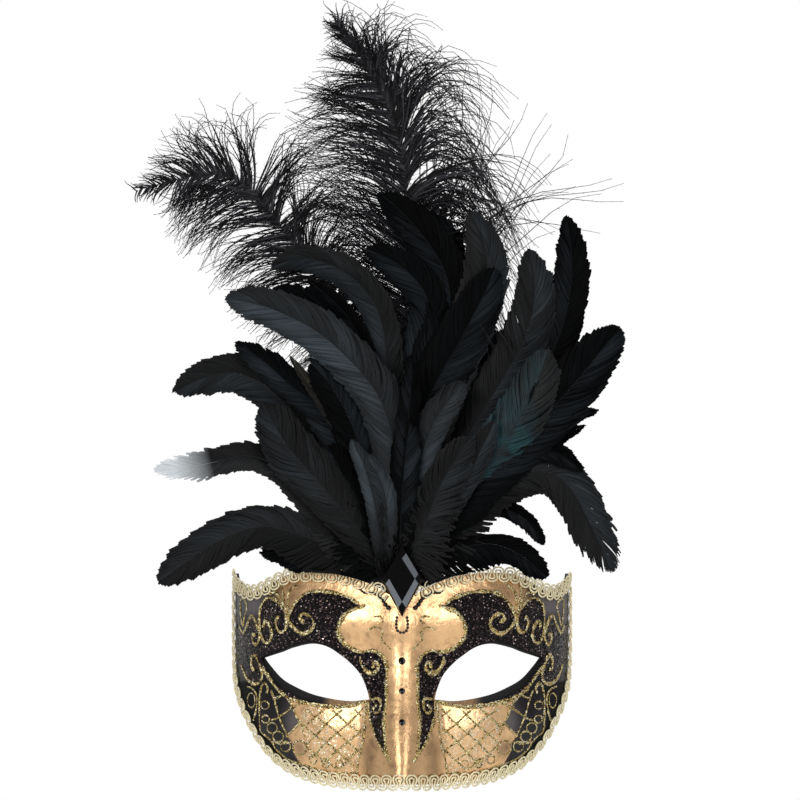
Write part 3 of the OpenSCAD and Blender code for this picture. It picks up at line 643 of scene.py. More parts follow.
def foil_and_paint():
    """Moulded plastic covered with gold foil, then painted and glittered by hand. The foil is a
    soft mirror whose colour is painted darker in its wrinkles' hollows as shade and lighter on
    their crests as highlight, with brown shade painted beside and down the nose, over the brow
    and at the bridge; the glitter is dark with single bright grains; the temple paint is a smooth
    satin grey."""
    s = bpy.context.scene.mask_shell_settings
    material, tree, shader = new_material("gold_foil_and_black_glitter_paint")
    where = object_place(tree)
    layers = {n: own(tree, n) for n in ("band", "grit", "temple", "worn", "dust", "rim",
                                        "nose_rim", "lining", "painted_shade")}

    # Foil: wrinkles about 6 mm long, crossed by fine upright streaks about 1 mm apart.
    wrinkles = noise(tree, where, 6 * MM, 5, Roughness=0.62, Distortion=0.7)
    drawn = add(tree, "Mapping", {"Vector": where, "Scale": (1, 1, 0.12)}).outputs[0]
    fine = noise(tree, drawn, 1.3 * MM, 3)
    # The foil's colour is painted darker in the wrinkles' hollows as shade and lighter on their
    # crests as highlight.
    foil = ramped(tree, wrinkles, [(0.30, shaded(0.62, s.foil)), (0.62, shaded(1.12, s.foil)),
                                   (0.48, list(s.foil))])
    # Brown painted shade over the foil.
    foil_with_painted_shade = mixed(tree, layers["painted_shade"], foil, s.painted_shade_colour)

    # Black glitter band: most grains black, some brown or grey, a few rose and bright.
    chance, tilt = glitter(tree, where, s.grain, 1.3)
    grains = ramped(tree, chance, [(0.0, list(s.band)), (0.985, linear("#efdcd4")),
                                   (0.6, linear("#171214")), (0.8, linear("#3d3134")),
                                   (0.93, linear("#84706c"))], "CONSTANT")

    # Gold dust on the cheeks: single grains of the band's cells, more of them where dust is high.
    sum_of = add(tree, "Math", {0: layers["dust"], 1: chance}, operation="ADD").outputs[0]
    fallen = add(tree, "Math", {0: sum_of, 1: 1.0}, operation="GREATER_THAN").outputs[0]
    dust = ramped(tree, chance, [(0.0, linear("#7a6334")), (0.9, linear("#fffbe6")),
                                 (0.72, linear("#c6aa66")), (0.82, linear("#efe3b4"))],
                  "CONSTANT")
    layers["dust"] = fallen

    grey = mixed(tree, layers["worn"], s.temple, s.worn)
    shade = foil_with_painted_shade
    metal = 0.98
    for name, paint, metallic in (("temple", grey, 0.15), ("dust", dust, 0.8),
                                  ("band", grains, 0.55), ("nose_rim", s.rim_nose, 0.25),
                                  ("rim", s.rim, 0.1), ("lining", s.lining, 0.0)):
        shade = mixed(tree, layers[name], shade, paint)
        metal = add(tree, "Mix", {0: layers[name], 2: metal, 3: metallic}).outputs[0]

    rough = ranged(tree, fine, start=0.2, end=0.36)
    for name, roughness in (("rim", 0.75), ("lining", 0.85)):
        rough = add(tree, "Mix", {0: layers[name], 2: rough, 3: roughness}).outputs[0]

    bump = add(tree, "Bump", {"Height": wrinkles, "Strength": 0.35, "Distance": 1.1 * MM})
    fine_bump = add(tree, "Bump", {"Height": fine, "Strength": 0.3, "Distance": 0.3 * MM,
                                   "Normal": bump.outputs[0]}).outputs[0]
    tilted = add(tree, "VectorMath", {0: fine_bump, 1: tilt}, operation="ADD")
    rough_parts = add(tree, "Math", {0: layers["grit"], 1: layers["dust"]}, operation="MAXIMUM")
    grainy = add(tree, "Mix", {0: rough_parts.outputs[0], 4: fine_bump, 5: tilted.outputs[0]},
                 data_type="VECTOR")
    normal = add(tree, "VectorMath", {0: grainy.outputs[1]}, operation="NORMALIZE")
    plug(tree, shader, {"Base Color": shade, "Metallic": metal, "Roughness": rough,
                        "Specular IOR Level": 0.15, "Normal": normal.outputs[0]})
    return material


def glitter_glue():
    """Clear glue with gold glitter, squeezed from a fine nozzle. Each grain shines alone."""
    s = bpy.context.scene.mask_shell_settings
    material, tree, shader = new_material("gold_glitter_glue")
    chance, tilt = glitter(tree, object_place(tree), s.grain, 1.4)
    grains = ramped(tree, chance, [(0.0, linear("#4a3b18")), (0.9, linear("#fffae0")),
                                   (0.3, list(s.lines)), (0.72, linear("#e9dfa8"))], "CONSTANT")
    face = add(tree, "NewGeometry").outputs["Normal"]
    tilted = add(tree, "VectorMath", {0: face, 1: tilt}, operation="ADD")
    normal = add(tree, "VectorMath", {0: tilted.outputs[0]}, operation="NORMALIZE")
    plug(tree, shader, {"Base Color": grains, "Metallic": 0.75, "Roughness": 0.38,
                        "Normal": normal.outputs[0]})
    return material


def metallic_thread(name, shade, between, metallic):
    """Twisted thread: bright on each wrap, painted darker between wraps as shade in the grooves, and
    a little mottled.
    """
    material, tree, shader = new_material(name)
    turns = ranged(tree, own(tree, "wrap"), start=0.5)
    mottle = noise(tree, object_place(tree), 1.5 * MM, 3)
    wound = mixed(tree, turns, between, shade)
    worn = mixed(tree, ranged(tree, mottle, 0.52, 0.7, end=0.5), wound, between)
    plug(tree, shader, {"Base Color": worn, "Metallic": metallic,
                        "Roughness": ranged(tree, mottle, start=0.26, end=0.48)})
    return material


# The ways that the lozenge's facets with a painted grey reflection face, and how much of that grey
# each shows.
PAINTED_REFLECTION_FACETS = (((-0.49, -0.83, -0.27), 1.0), ((0.49, -0.83, -0.27), 1.0),
                   ((0.48, -0.84, 0.28), 0.75))


def black_gloss(name, shade, roughness, painted_reflection=None):
    """Polished black acrylic or glass: dark, with clear reflections and faint wipe marks.
    The last argument is a grey painted as a reflection onto the two gently sloped facets below
    and the one at the upper right, picked by the way each faces."""
    material, tree, shader = new_material(name)
    marks = noise(tree, object_place(tree), 2.5 * MM, 4)
    base = mixed(tree, marks, shaded(0.8, shade), shaded(1.3, shade))
    for facing, shown in PAINTED_REFLECTION_FACETS if painted_reflection else ():
        face = add(tree, "NewGeometry").outputs["Normal"]
        turned = add(tree, "VectorMath", {0: face, 1: facing}, operation="DOT_PRODUCT")
        amount = ranged(tree, turned.outputs["Value"], 0.95, 0.97, end=shown)
        base = mixed(tree, amount, base, painted_reflection)
    plug(tree, shader, {"Base Color": base,
                        "Roughness": ranged(tree, marks, start=roughness, end=roughness + 0.06),
                        "Specular IOR Level": 0.06 if painted_reflection else 0.4})
    return material


def felt():
    """Pressed wool felt: matt, with short fibres that lie every way."""
    shade = bpy.context.scene.mask_trim_settings.felt
    material, tree, shader = new_material("black_wool_felt")
    fibres = noise(tree, object_place(tree), 0.5 * MM, 6, Roughness=0.75, Distortion=1.5)
    tint = ramped(tree, fibres, [(0.3, shaded(0.5, shade)), (0.75, shaded(2.2, shade))])
    bump = add(tree, "Bump", {"Height": fibres, "Strength": 0.8, "Distance": 0.25 * MM})
    plug(tree, shader, {"Base Color": tint, "Normal": bump.outputs[0], "Roughness": 0.95,
                        "Sheen Weight": 0.35})
    return material


def feather_material(name, shade, along=None, tip=None, roughness=0.5, specular=0.2):
    """Dyed feather: near black, lock by lock a little lighter or darker, with a cool satin shine
    that is partly its own gloss and partly sheen and light painted into its colour through the tone.
    along is a second colour that runs in patches, tip a third towards the end."""
    material, tree, shader = new_material(name)
    reach = own(tree, "reach")
    cloud = noise(tree, object_place(tree), 16 * MM, 3)
    base = ramped(tree, own(tree, "tone"),
                  [(0.0, shaded(0.3, shade)), (1.0, shaded(30, shade)),
                   (0.35, shaded(1.2, shade)), (0.7, shaded(11, shade))])
    if along is not None:
        patch = ranged(tree, cloud, 0.4, 0.58)
        below = ranged(tree, reach, 0.84, 0.62)
        both = add(tree, "Math", {0: patch, 1: below}, operation="MULTIPLY")
        base = mixed(tree, both.outputs[0], base, along)
    if tip is not None:
        base = mixed(tree, ranged(tree, reach, 0.8, 0.93), base, tip)
    rough = ranged(tree, cloud, start=roughness - 0.08, end=roughness + 0.14)
    plug(tree, shader, {"Base Color": base, "Roughness": rough, "Specular IOR Level": specular})
    return material


# ---- mask shell -----------------------------------------------------------------------

EYE_COLUMNS = (72, 170, 120)   # columns along the nose side, the lower lid and the upper lid
OUTER_ROWS = 50
INNER_ROWS = 16
FILLET = 0.8                   # radius of the eye hole's outer corner


def loop_of(*sides):
    """The three sides of a loop, each cut evenly into its number of columns."""
    cut = [evenly(side, count)[:-1] for side, count in zip(sides, EYE_COLUMNS)]
    return np.vstack(cut)


def rounded_corner(before, corner, after, size, count):
    """Points from one side of a corner to the other: the curve whose middle control point is
    the corner and whose ends lie size away from it along both sides."""
    start = corner + unit(before - corner) * size
    end = corner + unit(after - corner) * size
    t = np.linspace(0, 1, count)[:, None, None]
    return (1 - t) ** 2 * start + 2 * t * (1 - t) * corner + t ** 2 * end


def at_rim(places, depth):
    """Points on the turned-in rim: it runs nearly straight back, away from the nose."""
    a, z = places[:, 0], places[:, 1]
    turn = inward(a, z)
    turn[:, 1] += 1.5 * ramp((a - 22) / 25)
    return skin_at(a, z) + depth * unit(turn)


def half_shell():
    """The right half: sections from the edge to the eye hole outside, round the rim and back
    inside, one for each column. Returns the grid of points and its quads."""
    eye = loop_of(EYE_NOSE_SIDE, EYE_LOWER, EYE_UPPER)
    edge = loop_of(CENTRE_LINE, LOWER_EDGE, TOP_EDGE)
    step = unit(edge - eye) * WALL
    nose_side, lower, _ = EYE_COLUMNS
    lift = np.zeros_like(eye)
    lift[nose_side:nose_side + lower, 1] = LID_RISE * np.sin(np.linspace(0, math.pi, lower)) ** 0.6
    upper = len(eye) - nose_side - lower
    lift[nose_side + lower:, 1] = -BROW_DROP * np.sin(np.linspace(0, math.pi, upper))
    skin = skin_at(eye[:, 0], eye[:, 1])
    rim_out = at_rim(eye + lift, RIM_DEPTH)
    rim_in = at_rim(eye + lift + step, RIM_DEPTH)
    back = at_depth(eye + step, WALL)
    near = eye + step * FILLET / WALL
    share = np.linspace(0, 1, OUTER_ROWS)[:, None, None]
    outside = at_depth(edge + (near - edge) * share, np.zeros(1))
    deep = eye + step * 2 * FILLET
    share = np.linspace(0, 1, INNER_ROWS)[:, None, None]
    inside = at_depth(deep + (edge - deep) * share, np.full(1, WALL))
    grid = np.vstack([
        outside[:-1], rounded_corner(outside[-1], skin, rim_out, FILLET, 6),
        rounded_corner(skin, rim_out, rim_in, 0.7, 4),
        rounded_corner(rim_out, rim_in, back, 0.7, 4),
        rounded_corner(rim_in, back, inside[0], FILLET, 4), inside])
    rows, cols = grid.shape[:2]
    quads = grid_faces(rows, cols, wrap_cols=True)
    edge_strip = grid_faces(2, cols, wrap_cols=True)
    edge_strip = np.where(edge_strip >= cols, edge_strip - cols, edge_strip + (rows - 1) * cols)
    on_edge = edge_strip[nose_side:]
    return grid, np.vstack([quads, on_edge])


def drilled(piece):
    """Cuts the two tie holes through a piece, along the shell's own slope there."""
    a, z, radius = TIE_HOLE
    for side in (-1, 1):
        middle = at_depth(np.array([a, z]), np.array(WALL / 2))
        axis = inward(a, z)
        middle, axis = middle * [side, 1, 1], axis * [side, 1, 1]
        path = middle + axis * np.linspace(-4, 4, 3)[:, None]
        cutter = build("hole_cutter", *round_cord(path, UP, np.full((3, 1), radius), 48))
        cut = piece.modifiers.new("tie_hole", "BOOLEAN")
        cut.object = cutter
        cut.solver = "EXACT"
        solid = bpy.data.meshes.new_from_object(
            piece.evaluated_get(bpy.context.evaluated_depsgraph_get()))
        piece.modifiers.clear()
        piece.data = solid
        bpy.data.objects.remove(cutter)


def signed_distance(places, outline):
    """Distance of places from a closed outline, less than zero inside it: the least distance
    to its sides, with a sign from counting the sides that a ray to the right crosses."""
    a = outline
    b = np.roll(outline, -1, axis=0)
    side = b - a
    squared = np.maximum((side ** 2).sum(-1), 1e-9)
    rise = np.where(side[:, 1] == 0, 1e-9, side[:, 1])
    away = np.full(len(places), 1e9)
    inside = np.zeros(len(places), bool)
    # Blocks of about 4000 places keep the tables small.
    for block in np.array_split(np.arange(len(places)), max(1, len(places) // 4000)):
        p = places[block][:, None]
        t = np.clip(((p - a) * side).sum(-1) / squared, 0, 1)
        away[block] = np.linalg.norm(p - a - t[..., None] * side, axis=-1).min(1)
        crosses = (a[:, 1] > p[..., 1]) != (b[:, 1] > p[..., 1])
        x = a[:, 0] + (p[..., 1] - a[:, 1]) * side[:, 0] / rise
        inside[block] = (crosses & (p[..., 0] < x)).sum(1) % 2 == 1
    return np.where(inside, -away, away)


def paint_layers(points):
    """Where each paint lies on the shell, from 0 to 1, from the points' own places: depth is
    how far a point lies behind the outer surface, and seen its distance from the centre line
    as seen from the front."""
    x, z = points[:, 0], points[:, 2]
    seen = np.abs(x)
    a = TURN_RADIUS * np.arcsin(np.clip(seen / half_width(z), 0, 1))
    sided = np.where(x < 0, -a, a)
    depth = ((points - skin_at(sided, z)) * inward(sided, z)).sum(1)
    places = np.stack([a, z], -1)
    front = np.stack([seen, z], -1)
    from_eye = signed_distance(places, loop_of(EYE_NOSE_SIDE, EYE_LOWER, EYE_UPPER))
    behind = ramp((depth - 0.9) / 0.5)

    band = signed_distance(places, unrolled(evenly(GLITTER_BAND + GLITTER_BAND[:1], 500)[:-1]))
    glittered = ramp(0.5 - band / 0.6)
    dust = 0.17 * ramp(0.5 - signed_distance(front, np.array(CHEEK)) / 2)

    # Black paint: the temple's upper part, the outer cheek, and a thin veil between them;
    # then where the paint is thin.
    high = ramp((seen - 57) / 9) * ramp((z - 6) / 8)
    low = ramp(0.5 - signed_distance(front, np.array(DARK_CHEEK)) / 0.7)
    veil = 0.6 * bell((seen - 51.5) / 4.5) * bell((z + 38.5) / 5)
    thin = np.maximum(bell((seen - 53.5) / 5) * bell((z + 25) / 9),
                      ramp((z - 24) / 8) * bell((seen - 74) / 7))

    # Black rims: the hem below the cheeks, the lids' outer line and the eye holes' walls,
    # which turn gold beside the nose.
    border = np.array(HEM_LINE)
    hem = ramp((np.interp(seen, border[:, 0], border[:, 1]) - z) / 1.2) * ramp((seen - 38) / 10)
    lid = ramp((1.1 - from_eye) / 0.5)
    at_wall = ramp((depth - 0.35) / 0.5) * (from_eye < 3.5) * (1 - ramp(depth - 6))
    nose_part = ramp((44 - seen) / 10) * ramp((-8 - z) / 4)
    rim = np.maximum.reduce([lid * ramp((seen - 33) / 8), at_wall * (1 - nose_part),
                             hem * (1 - behind)])

    # Brown painted shade: in the creases beside the nose, over the brow, at the bridge, and down the
    # nose's foot.
    painted_shade = (0.55 * bell((seen - 13) / 4) * bell((z + 8) / 22)
             + 0.35 * ramp((seen - 40) / 25) * ramp((z - 20) / 15)
             + 0.3 * bell((seen - 9) / 5) * bell((z - 26) / 7)
             + 0.6 * bell((seen - 16.5) / 3.5) * ramp((-28 - z) / 12)
             + 0.5 * bell(seen / 9) * ramp((-10 - z) / 12))
    return {"band": glittered, "grit": glittered * (1 - rim),
            "temple": np.maximum.reduce([high, low, veil]), "worn": thin,
            "dust": dust * (1 - behind), "rim": rim,
            "nose_rim": np.maximum(at_wall, lid) * nose_part,
            "lining": behind * (from_eye > 2.2), "painted_shade": painted_shade}


class MASK_OT_shell(bpy.types.Operator):
    """Makes the moulded shell with its foil, paint, lining and tie holes"""
    bl_idname = "mask.shell"
    bl_label = "Mask shell"

    def execute(self, context):
        grid, quads = half_shell()
        right = grid.reshape(-1, 3)
        points = np.vstack([right, right * [-1, 1, 1]])
        piece = build("foil_shell", points, np.vstack([quads, quads[:, ::-1] + len(right)]))
        edit = bmesh.new()
        edit.from_mesh(piece.data)
        bmesh.ops.remove_doubles(edit, verts=edit.verts, dist=0.01 * MM)
        bmesh.ops.dissolve_degenerate(edit, edges=edit.edges, dist=0.002 * MM)
        bmesh.ops.recalc_face_normals(edit, faces=edit.faces)
        edit.to_mesh(piece.data)
        edit.free()
        drilled(piece)
        co = np.zeros(len(piece.data.vertices) * 3, np.float32)
        piece.data.vertices.foreach_get("co", co)
        painted(piece.data, paint_layers(co.reshape(-1, 3).astype(float) / MM))
        piece.data.shade_smooth()
        piece.data.set_sharp_from_angle(angle=math.radians(50))
        finished(piece, foil_and_paint(), "gold_shell", "mask_shell")
        return {"FINISHED"}


def glue_line(places, half, height, rng):
    """A raised line of glue on the shell: half round sections, wider and narrower at random,
    with round ends."""
    count = max(6, int(steps_of(places)[-1] / 0.55))
    path = evenly(places, count)
    middle = skin_at(path[:, 0], path[:, 1])
    _, across, out = frames(middle, -inward(path[:, 0], path[:, 1]))
    reached = steps_of(middle)
    reach = np.minimum(reached, reached[-1] - reached)
    swell = np.convolve(rng.normal(size=count + 7), np.ones(7) / 7, "valid") * 0.55 + 1
    end = np.sqrt(np.clip(1 - (1 - np.minimum(reach / (half * 1.2), 1)) ** 2, 0.03, 1))
    phi = np.arange(8) * math.pi / 4 + math.pi / 8
    wide = (half * swell * end)[:, None, None]
    high = (height * (0.5 + 0.5 * swell) * end)[:, None, None]
    wide = wide * (1 + rng.normal(0, 0.14, (count + 1, 8, 1)))
    ring = (across[:, None] * np.cos(phi)[:, None] * wide
            + out[:, None] * np.sin(phi)[:, None] * high)
    return tube(middle[:, None] + ring[:, ::-1])


def lattice(rng):
    """The net on the cheek: two families of slanting lines 7 mm apart that waver a little,
    cut to the cheek's outline. Returns the lines and the places where they cross."""
    lines, crossings = [], []
    region = evenly(CHEEK + CHEEK[:1], 120)[:-1]
    x = np.linspace(14, 54, 70)
    # Each family's slope, and the height of its first line beside the nose.
    for slope, top in ((0.78, -14), (-0.95, 18)):
        for drop in np.arange(-6, 72, 9.3):
            z = top - drop + slope * (x - 14) + 0.5 * np.sin(x * 0.3 + rng.uniform(0, 6))
            line = np.stack([x, z], -1)
            kept = signed_distance(line, region) < -0.3
            if kept.sum() > 5:
                lines.append(line[kept])
    for one in lines:
        for other in lines:
            away = np.linalg.norm(one[:, None] - other[None], axis=-1)
            slopes = (one[-1] - one[0])[1] > 0 > (other[-1] - other[0])[1]
            if slopes and away.min() < 0.5:
                crossings.append(one[np.unravel_index(away.argmin(), away.shape)[0]])
    return lines, crossings


# How much wider the glue spreads than the lines it was squeezed along, and the half widths
# of the net's lines and of the rings.
SPREAD = 1.35
NET_HALF = 0.5
RING_HALF = 0.42


class MASK_OT_lines(bpy.types.Operator):
    """Squeezes the gold glitter lines, rings and dots onto the shell"""
    bl_idname = "mask.lines"
    bl_label = "Glitter lines"

    def execute(self, context):
        height = context.scene.mask_shell_settings.line_height / MM
        material = glitter_glue()
        turn = np.linspace(0, 2 * math.pi, 17)
        for side, name in ((-1, "glitter_lines_left"), (1, "glitter_lines_right")):
            rng = np.random.default_rng(11 + side)
            parts = []
            for half, points in SCROLLS:
                places = unrolled(evenly(points, 12 * len(points)))
                parts.append(glue_line(places * [side, 1], half * SPREAD, height, rng))
            net, knots = lattice(rng)
            for line in net:
                parts.append(glue_line(unrolled(line) * [side, 1], NET_HALF, height * 0.7, rng))
            for knot in knots:
                spot = skin_at(*(unrolled([knot])[0] * [side, 1]))
                parts.append(ball(spot, rng.uniform(0.5, 0.95), 6, 8))
            for centre, wide, high in RINGS:
                loop = np.array(centre) + np.stack([wide * np.cos(turn), high * np.sin(turn)], -1)
                parts.append(glue_line(unrolled(loop) * [side, 1], RING_HALF, height * 0.9, rng))
            for centre, radius in DOTS:
                spot = skin_at(*(unrolled([centre])[0] * [side, 1]))
                parts.append(ball(spot, [radius, 0.75 * radius, radius], 6, 10))
            finished(build(name, *joined(parts)), material, "gold_shell")
        return {"FINISHED"}


# ---- braid ----------------------------------------------------------------------------

def shifted(path, off):
    """A path of [a, z] places moved sideways by off."""
    return path + off * left_of(unit(np.gradient(path, axis=0)))


def braid_cords(path, settings):
    """Scroll gimp: two cords side by side that swing from edge to edge. The swing is a sine
    across and the place along is less a sine of twice the turn, which makes each loop wider
    than its neck. The cords' radii ripple round and along, as a twisted thread does. apart is
    the distance between the cords' middles, in radii."""
    swing, widening, apart = 2.9, 0.17, 3.0
    radius = settings.cord_radius / MM
    reached = steps_of(path)
    loops = round(reached[-1] / (settings.braid_pitch / MM))
    pitch = reached[-1] / loops
    t = np.arange(0, loops, 0.036)
    line = np.stack([t * pitch - widening * pitch * np.sin(4 * math.pi * t),
                     swing * np.sin(2 * math.pi * t)], -1)
    sideways = left_of(unit(np.gradient(line, axis=0)))
    parts, wraps = [], []
    for k, off in enumerate((-1, 1)):
        u, v = (line + sideways * off * radius * apart / 2).T
        u = np.clip(u, 0, reached[-1])
        way = unit(values_at(u, reached, np.gradient(path, axis=0)))
        place = values_at(u, reached, path) + v[:, None] * left_of(way)
        lift = 0.3 + radius * 1.1 + 0.22 * (1 + np.sin(4 * math.pi * t + k * 1.5))
        centre = at_depth(place, -lift)
        twist = twist_of(centre, 7, 1.9)
        parts.append(round_cord(centre, -inward(place[:, 0], place[:, 1]),
                                radius * (0.84 + 0.24 * twist)))
        wraps.append(twist[:, ::-1].ravel())
    return joined(parts), np.concatenate(wraps)


class MASK_OT_braid(bpy.types.Operator):
    """Glues the three lengths of gold scroll braid round the shell's edge"""
    bl_idname = "mask.braid"
    bl_label = "Braid"

    def execute(self, context):
        settings = context.scene.mask_trim_settings
        # The pale gold is the wraps' colour and the darker olive the shade painted in the grooves
        # between them.
        material = metallic_thread("metallised_film_thread_braid", list(settings.braid),
                                   linear("#8a7038"), 0.2)
        top = evenly(TOP_EDGE, 260)
        top = top[top[:, 0] > 6]
        low = evenly(LOWER_EDGE, 300)
        low = shifted(low[low[:, 1] < 42], 0.9)
        top = shifted(top, 0.9)
        for name, path in (("braid_top_right", top), ("braid_top_left", top * [-1, 1]),
                           ("braid_lower", np.vstack([low[::-1] * [-1, 1], low[1:]]))):
            mesh, wraps = braid_cords(path, settings)
            piece = build("gimp_" + name, *mesh, attributes={"wrap": wraps})
            finished(piece, material, "gold_braid", name)
        return {"FINISHED"}


# ---- jewel, stones and beads ----------------------------------------------------------

def cut_stone(z, radius):
    """A round faceted stone on the nose: rings of ten points that shrink from the girdle to a
    small flat table, the crown's middle ring turned half a facet from the others."""
    centre = at_depth(np.array([0.0, z]), np.array(-0.02))
    out = -inward(0.0, z)
    across = np.array([1.0, 0.0, 0.0])
    up = np.cross(out, across) * -1
    facet = 2 * math.pi / 10
    girdle = 0.5
    # Each ring: its share of the radius, its height, and its turn in facets.
    rows = [(1.0, 0.0, 0), (1.0, girdle, 0), (0.8, girdle + 0.34 * radius, 0.5),
            (0.44, girdle + 0.66 * radius, 0)]
    rings = []
    for wide, high, turn in rows:
        phi = (np.arange(10) * facet + turn * facet)[:, None]
        rings.append(centre + out * high
                     + radius * wide * (across * np.cos(phi) + up * np.sin(phi)))
    return tube(np.array(rings)[:, ::-1])


BEAD_LOOP = [[-2.3, 28], [-2.7, 24], [-2.3, 21], [0, 19.6], [2.3, 21], [2.7, 24], [2.3, 28]]
BEAD_SWAG = [[20.5, 41.5], [17.8, 39.4], [14.6, 39.4], [11.6, 38.2], [9.2, 36], [7.4, 33],
             [5.4, 31.4]]
BEAD_LIFT = 0.6                # how far the beads' middles stand off the shell


class MASK_OT_jewels(bpy.types.Operator):
    """Polishes the lozenge jewel, and makes the nose stones and the strings of beads"""
    bl_idname = "mask.jewels"
    bl_label = "Jewel, stones and beads"

    def execute(self, context):
        settings = context.scene.mask_trim_settings
        # The grey given last is painted onto some of the jewel's and stones' facets as a reflection.
        acrylic = black_gloss("polished_black_acrylic", list(settings.jewel), 0.05,
                              linear("#6b6f75"))
        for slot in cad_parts["jewel"].material_slots:
            slot.material = acrylic
        stones = {"nose_stone_upper": (5.5, 1.9), "nose_stone_middle": (-9.5, 1.6),
                  "nose_stone_lower": (-25.0, 1.6)}
        for name, (z, radius) in stones.items():
            piece = build("cut_" + name, *cut_stone(z, radius), flat=True)
            finished(piece, acrylic, "black_acrylic", name)
        glass = black_gloss("pressed_black_glass_beads", list(settings.bead), 0.08)
        # Each string: its path, and its beads' radii at its two ends.
        strings = {"bead_loop": (np.array(BEAD_LOOP), 0.74, 0.74),
                   "bead_swag_left": (np.array(BEAD_SWAG) * [-1, 1], 0.65, 1.25),
                   "bead_swag_right": (np.array(BEAD_SWAG), 0.65, 1.25)}
        for name, (path, first, last) in strings.items():
            fine = evenly(path, 90)
            wire = at_depth(fine, np.full(1, -BEAD_LIFT))
            reached = steps_of(wire)
            radii = first + (last - first) * np.linspace(0, 1, 12) ** 2
            at = (np.cumsum(2 * radii) - radii) / (2 * radii.sum()) * reached[-1]
            parts = [ball(c, r) for c, r in zip(values_at(at, reached, wire), radii)]
            thread = np.full((len(wire), 1), 0.16)
            parts.append(round_cord(wire, -inward(fine[:, 0], fine[:, 1]), thread, 6))
            finished(build("string_" + name, *joined(parts)), glass, "black_bead", name)
        return {"FINISHED"}


# ---- felt and binding -----------------------------------------------------------------

def middle_and_half(node):
    """The middle and the half size of a node's box, in millimetres."""
    low, high = (np.array(corner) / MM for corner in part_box(node))
    return (low + high) / 2, (high - low) / 2


def oblong(turn, power):
    """A superellipse of half size 1: the cosine and sine of the turn, each to a power."""
    both = np.stack([np.cos(turn), np.sin(turn)], -1)
    return np.sign(both) * np.abs(both) ** power


class MASK_OT_backing(bpy.types.Operator):
    """Wraps the quills with thread and covers their ends with a felt patch"""
    bl_idname = "mask.backing"
    bl_label = "Binding and felt"

    def execute(self, context):
        settings = context.scene.mask_trim_settings
        # Thread round a rounded oblong: a superellipse that climbs by its own width each turn.
        middle, half = middle_and_half("quill_binding")
        turns, inset = 9, 0.3
        t = np.linspace(0, turns, turns * 56)
        x, y = oblong(2 * math.pi * t, 0.35).T
        path = middle + np.stack([(half[0] - inset) * x, (half[1] - inset) * y,
                                  (t / turns - 0.5) * 2 * (half[2] - inset)], -1)
        twist = twist_of(path, 8, 1.2)
        cord = round_cord(path, UP, 0.26 + 0.04 * twist, 8)
        piece = build("wound_quill_binding", *cord, attributes={"wrap": twist[:, ::-1].ravel()})
        # The thread is painted darker between its wraps as shade.
        thread = metallic_thread("waxed_cotton_thread", list(settings.thread),
                                 shaded(0.3, settings.thread), 0.0)
        finished(piece, thread, "binding_thread", "quill_binding")

        # Felt pad: rings of a superellipse from the middle of one face round the edge to the
        # other, with soft ridges over the quills beneath.
        middle, half = middle_and_half("felt_patch")
        outline = oblong(np.arange(120) * 2 * math.pi / 120, 0.5)
        share = np.concatenate([np.linspace(0.02, 0.98, 24), [0.995, 1, 0.995],
                                np.linspace(0.98, 0.02, 24)])
        side = np.concatenate([np.full(24, -1), [-0.6, 0, 0.6], np.full(24, 1)])
        x = middle[0] + half[0] * share[:, None] * outline[:, 0]
        z = middle[2] + half[2] * share[:, None] * outline[:, 1]
        ridge = 0.12 * np.cos(2 * math.pi * x / QUILL_PITCH) * bell(x / 9) * (side[:, None] > 0)
        y = middle[1] + half[1] * side[:, None] + ridge
        pad = tube(np.stack([x, y, z], -1)[:, ::-1])
        finished(build("pressed_felt_patch", *pad), felt(), "black_felt", "felt_patch")
        return {"FINISHED"}


# ---- feather crest --------------------------------------------------------------------

def quill_x(k):
    """Where a quill stands in its row: in the order in which the feathers leave the notch."""
    keys = [route[0][0] + 0.05 * math.degrees(math.atan2(route[-1][0], route[-1][1]))
            for *_, route in PLUMES]
    first = k // PER_ROW * PER_ROW
    row = range(first, min(first + PER_ROW, len(PLUMES)))
    rank = sorted(row, key=lambda j: (keys[j], j)).index(k)
    return QUILL_PITCH * (rank - (PER_ROW - 1) / 2)


def layer_y(k, r):
    """Depth of feather k at a distance r from the fan's centre. Behind the shell the quills
    stand in rows; past the notch each feather keeps its own layer, and the layers lean
    forward and spread with the distance."""
    out = np.maximum(r - 30, 0)
    t = ramp((r - 13) / 20)
    return ((1 - t) * (ROW_Y + ROW_STEP * (k // PER_ROW))
            + t * (BASE_Y - 6.2 - 0.1 * np.minimum(out, 160) + k * (LAYER_GAP + LAYER_FAN * out)))


class Shaft:
    """A feather's middle line in x and z, with a straight stretch past its tip."""

    def __init__(self, k):
        self.name, self.left, self.right, start, route = PLUMES[k]
        self.k = k
        x = quill_x(k)
        lead = [[x, QUILL_Z], [0.98 * x, 36], [0.25 * x + 0.75 * route[0][0], 46]]
        line = evenly(lead + route, 300)
        self.length = steps_of(line)[-1]
        last = unit(line[-1] - line[-4])
        self.line = np.vstack([line, line[-1] + last * np.array([[20.0], [60.0]])])
        self.reached = steps_of(self.line)
        self.way = unit(np.gradient(self.line, axis=0))
        # start is where an ostrich vane begins, down where a hackle's down begins.
        out = np.linalg.norm(line - FAN_CENTRE, axis=1)
        self.start = self.reached[np.argmax((out >= 34) & (line[:, 1] >= start))]
        self.down = self.reached[np.argmax(out >= 17)]

    def at(self, s):
        """Places and directions at distances s along the shaft."""
        return (values_at(s, self.reached, self.line),
                unit(values_at(s, self.reached, self.way)))

    def raised(self, place, off=0.0):
        """Points in space: the layer's depth at each place, plus off towards the back."""
        y = layer_y(self.k, np.linalg.norm(place - FAN_CENTRE, axis=-1)) + off
        return np.stack([place[..., 0], y, place[..., 1]], -1)


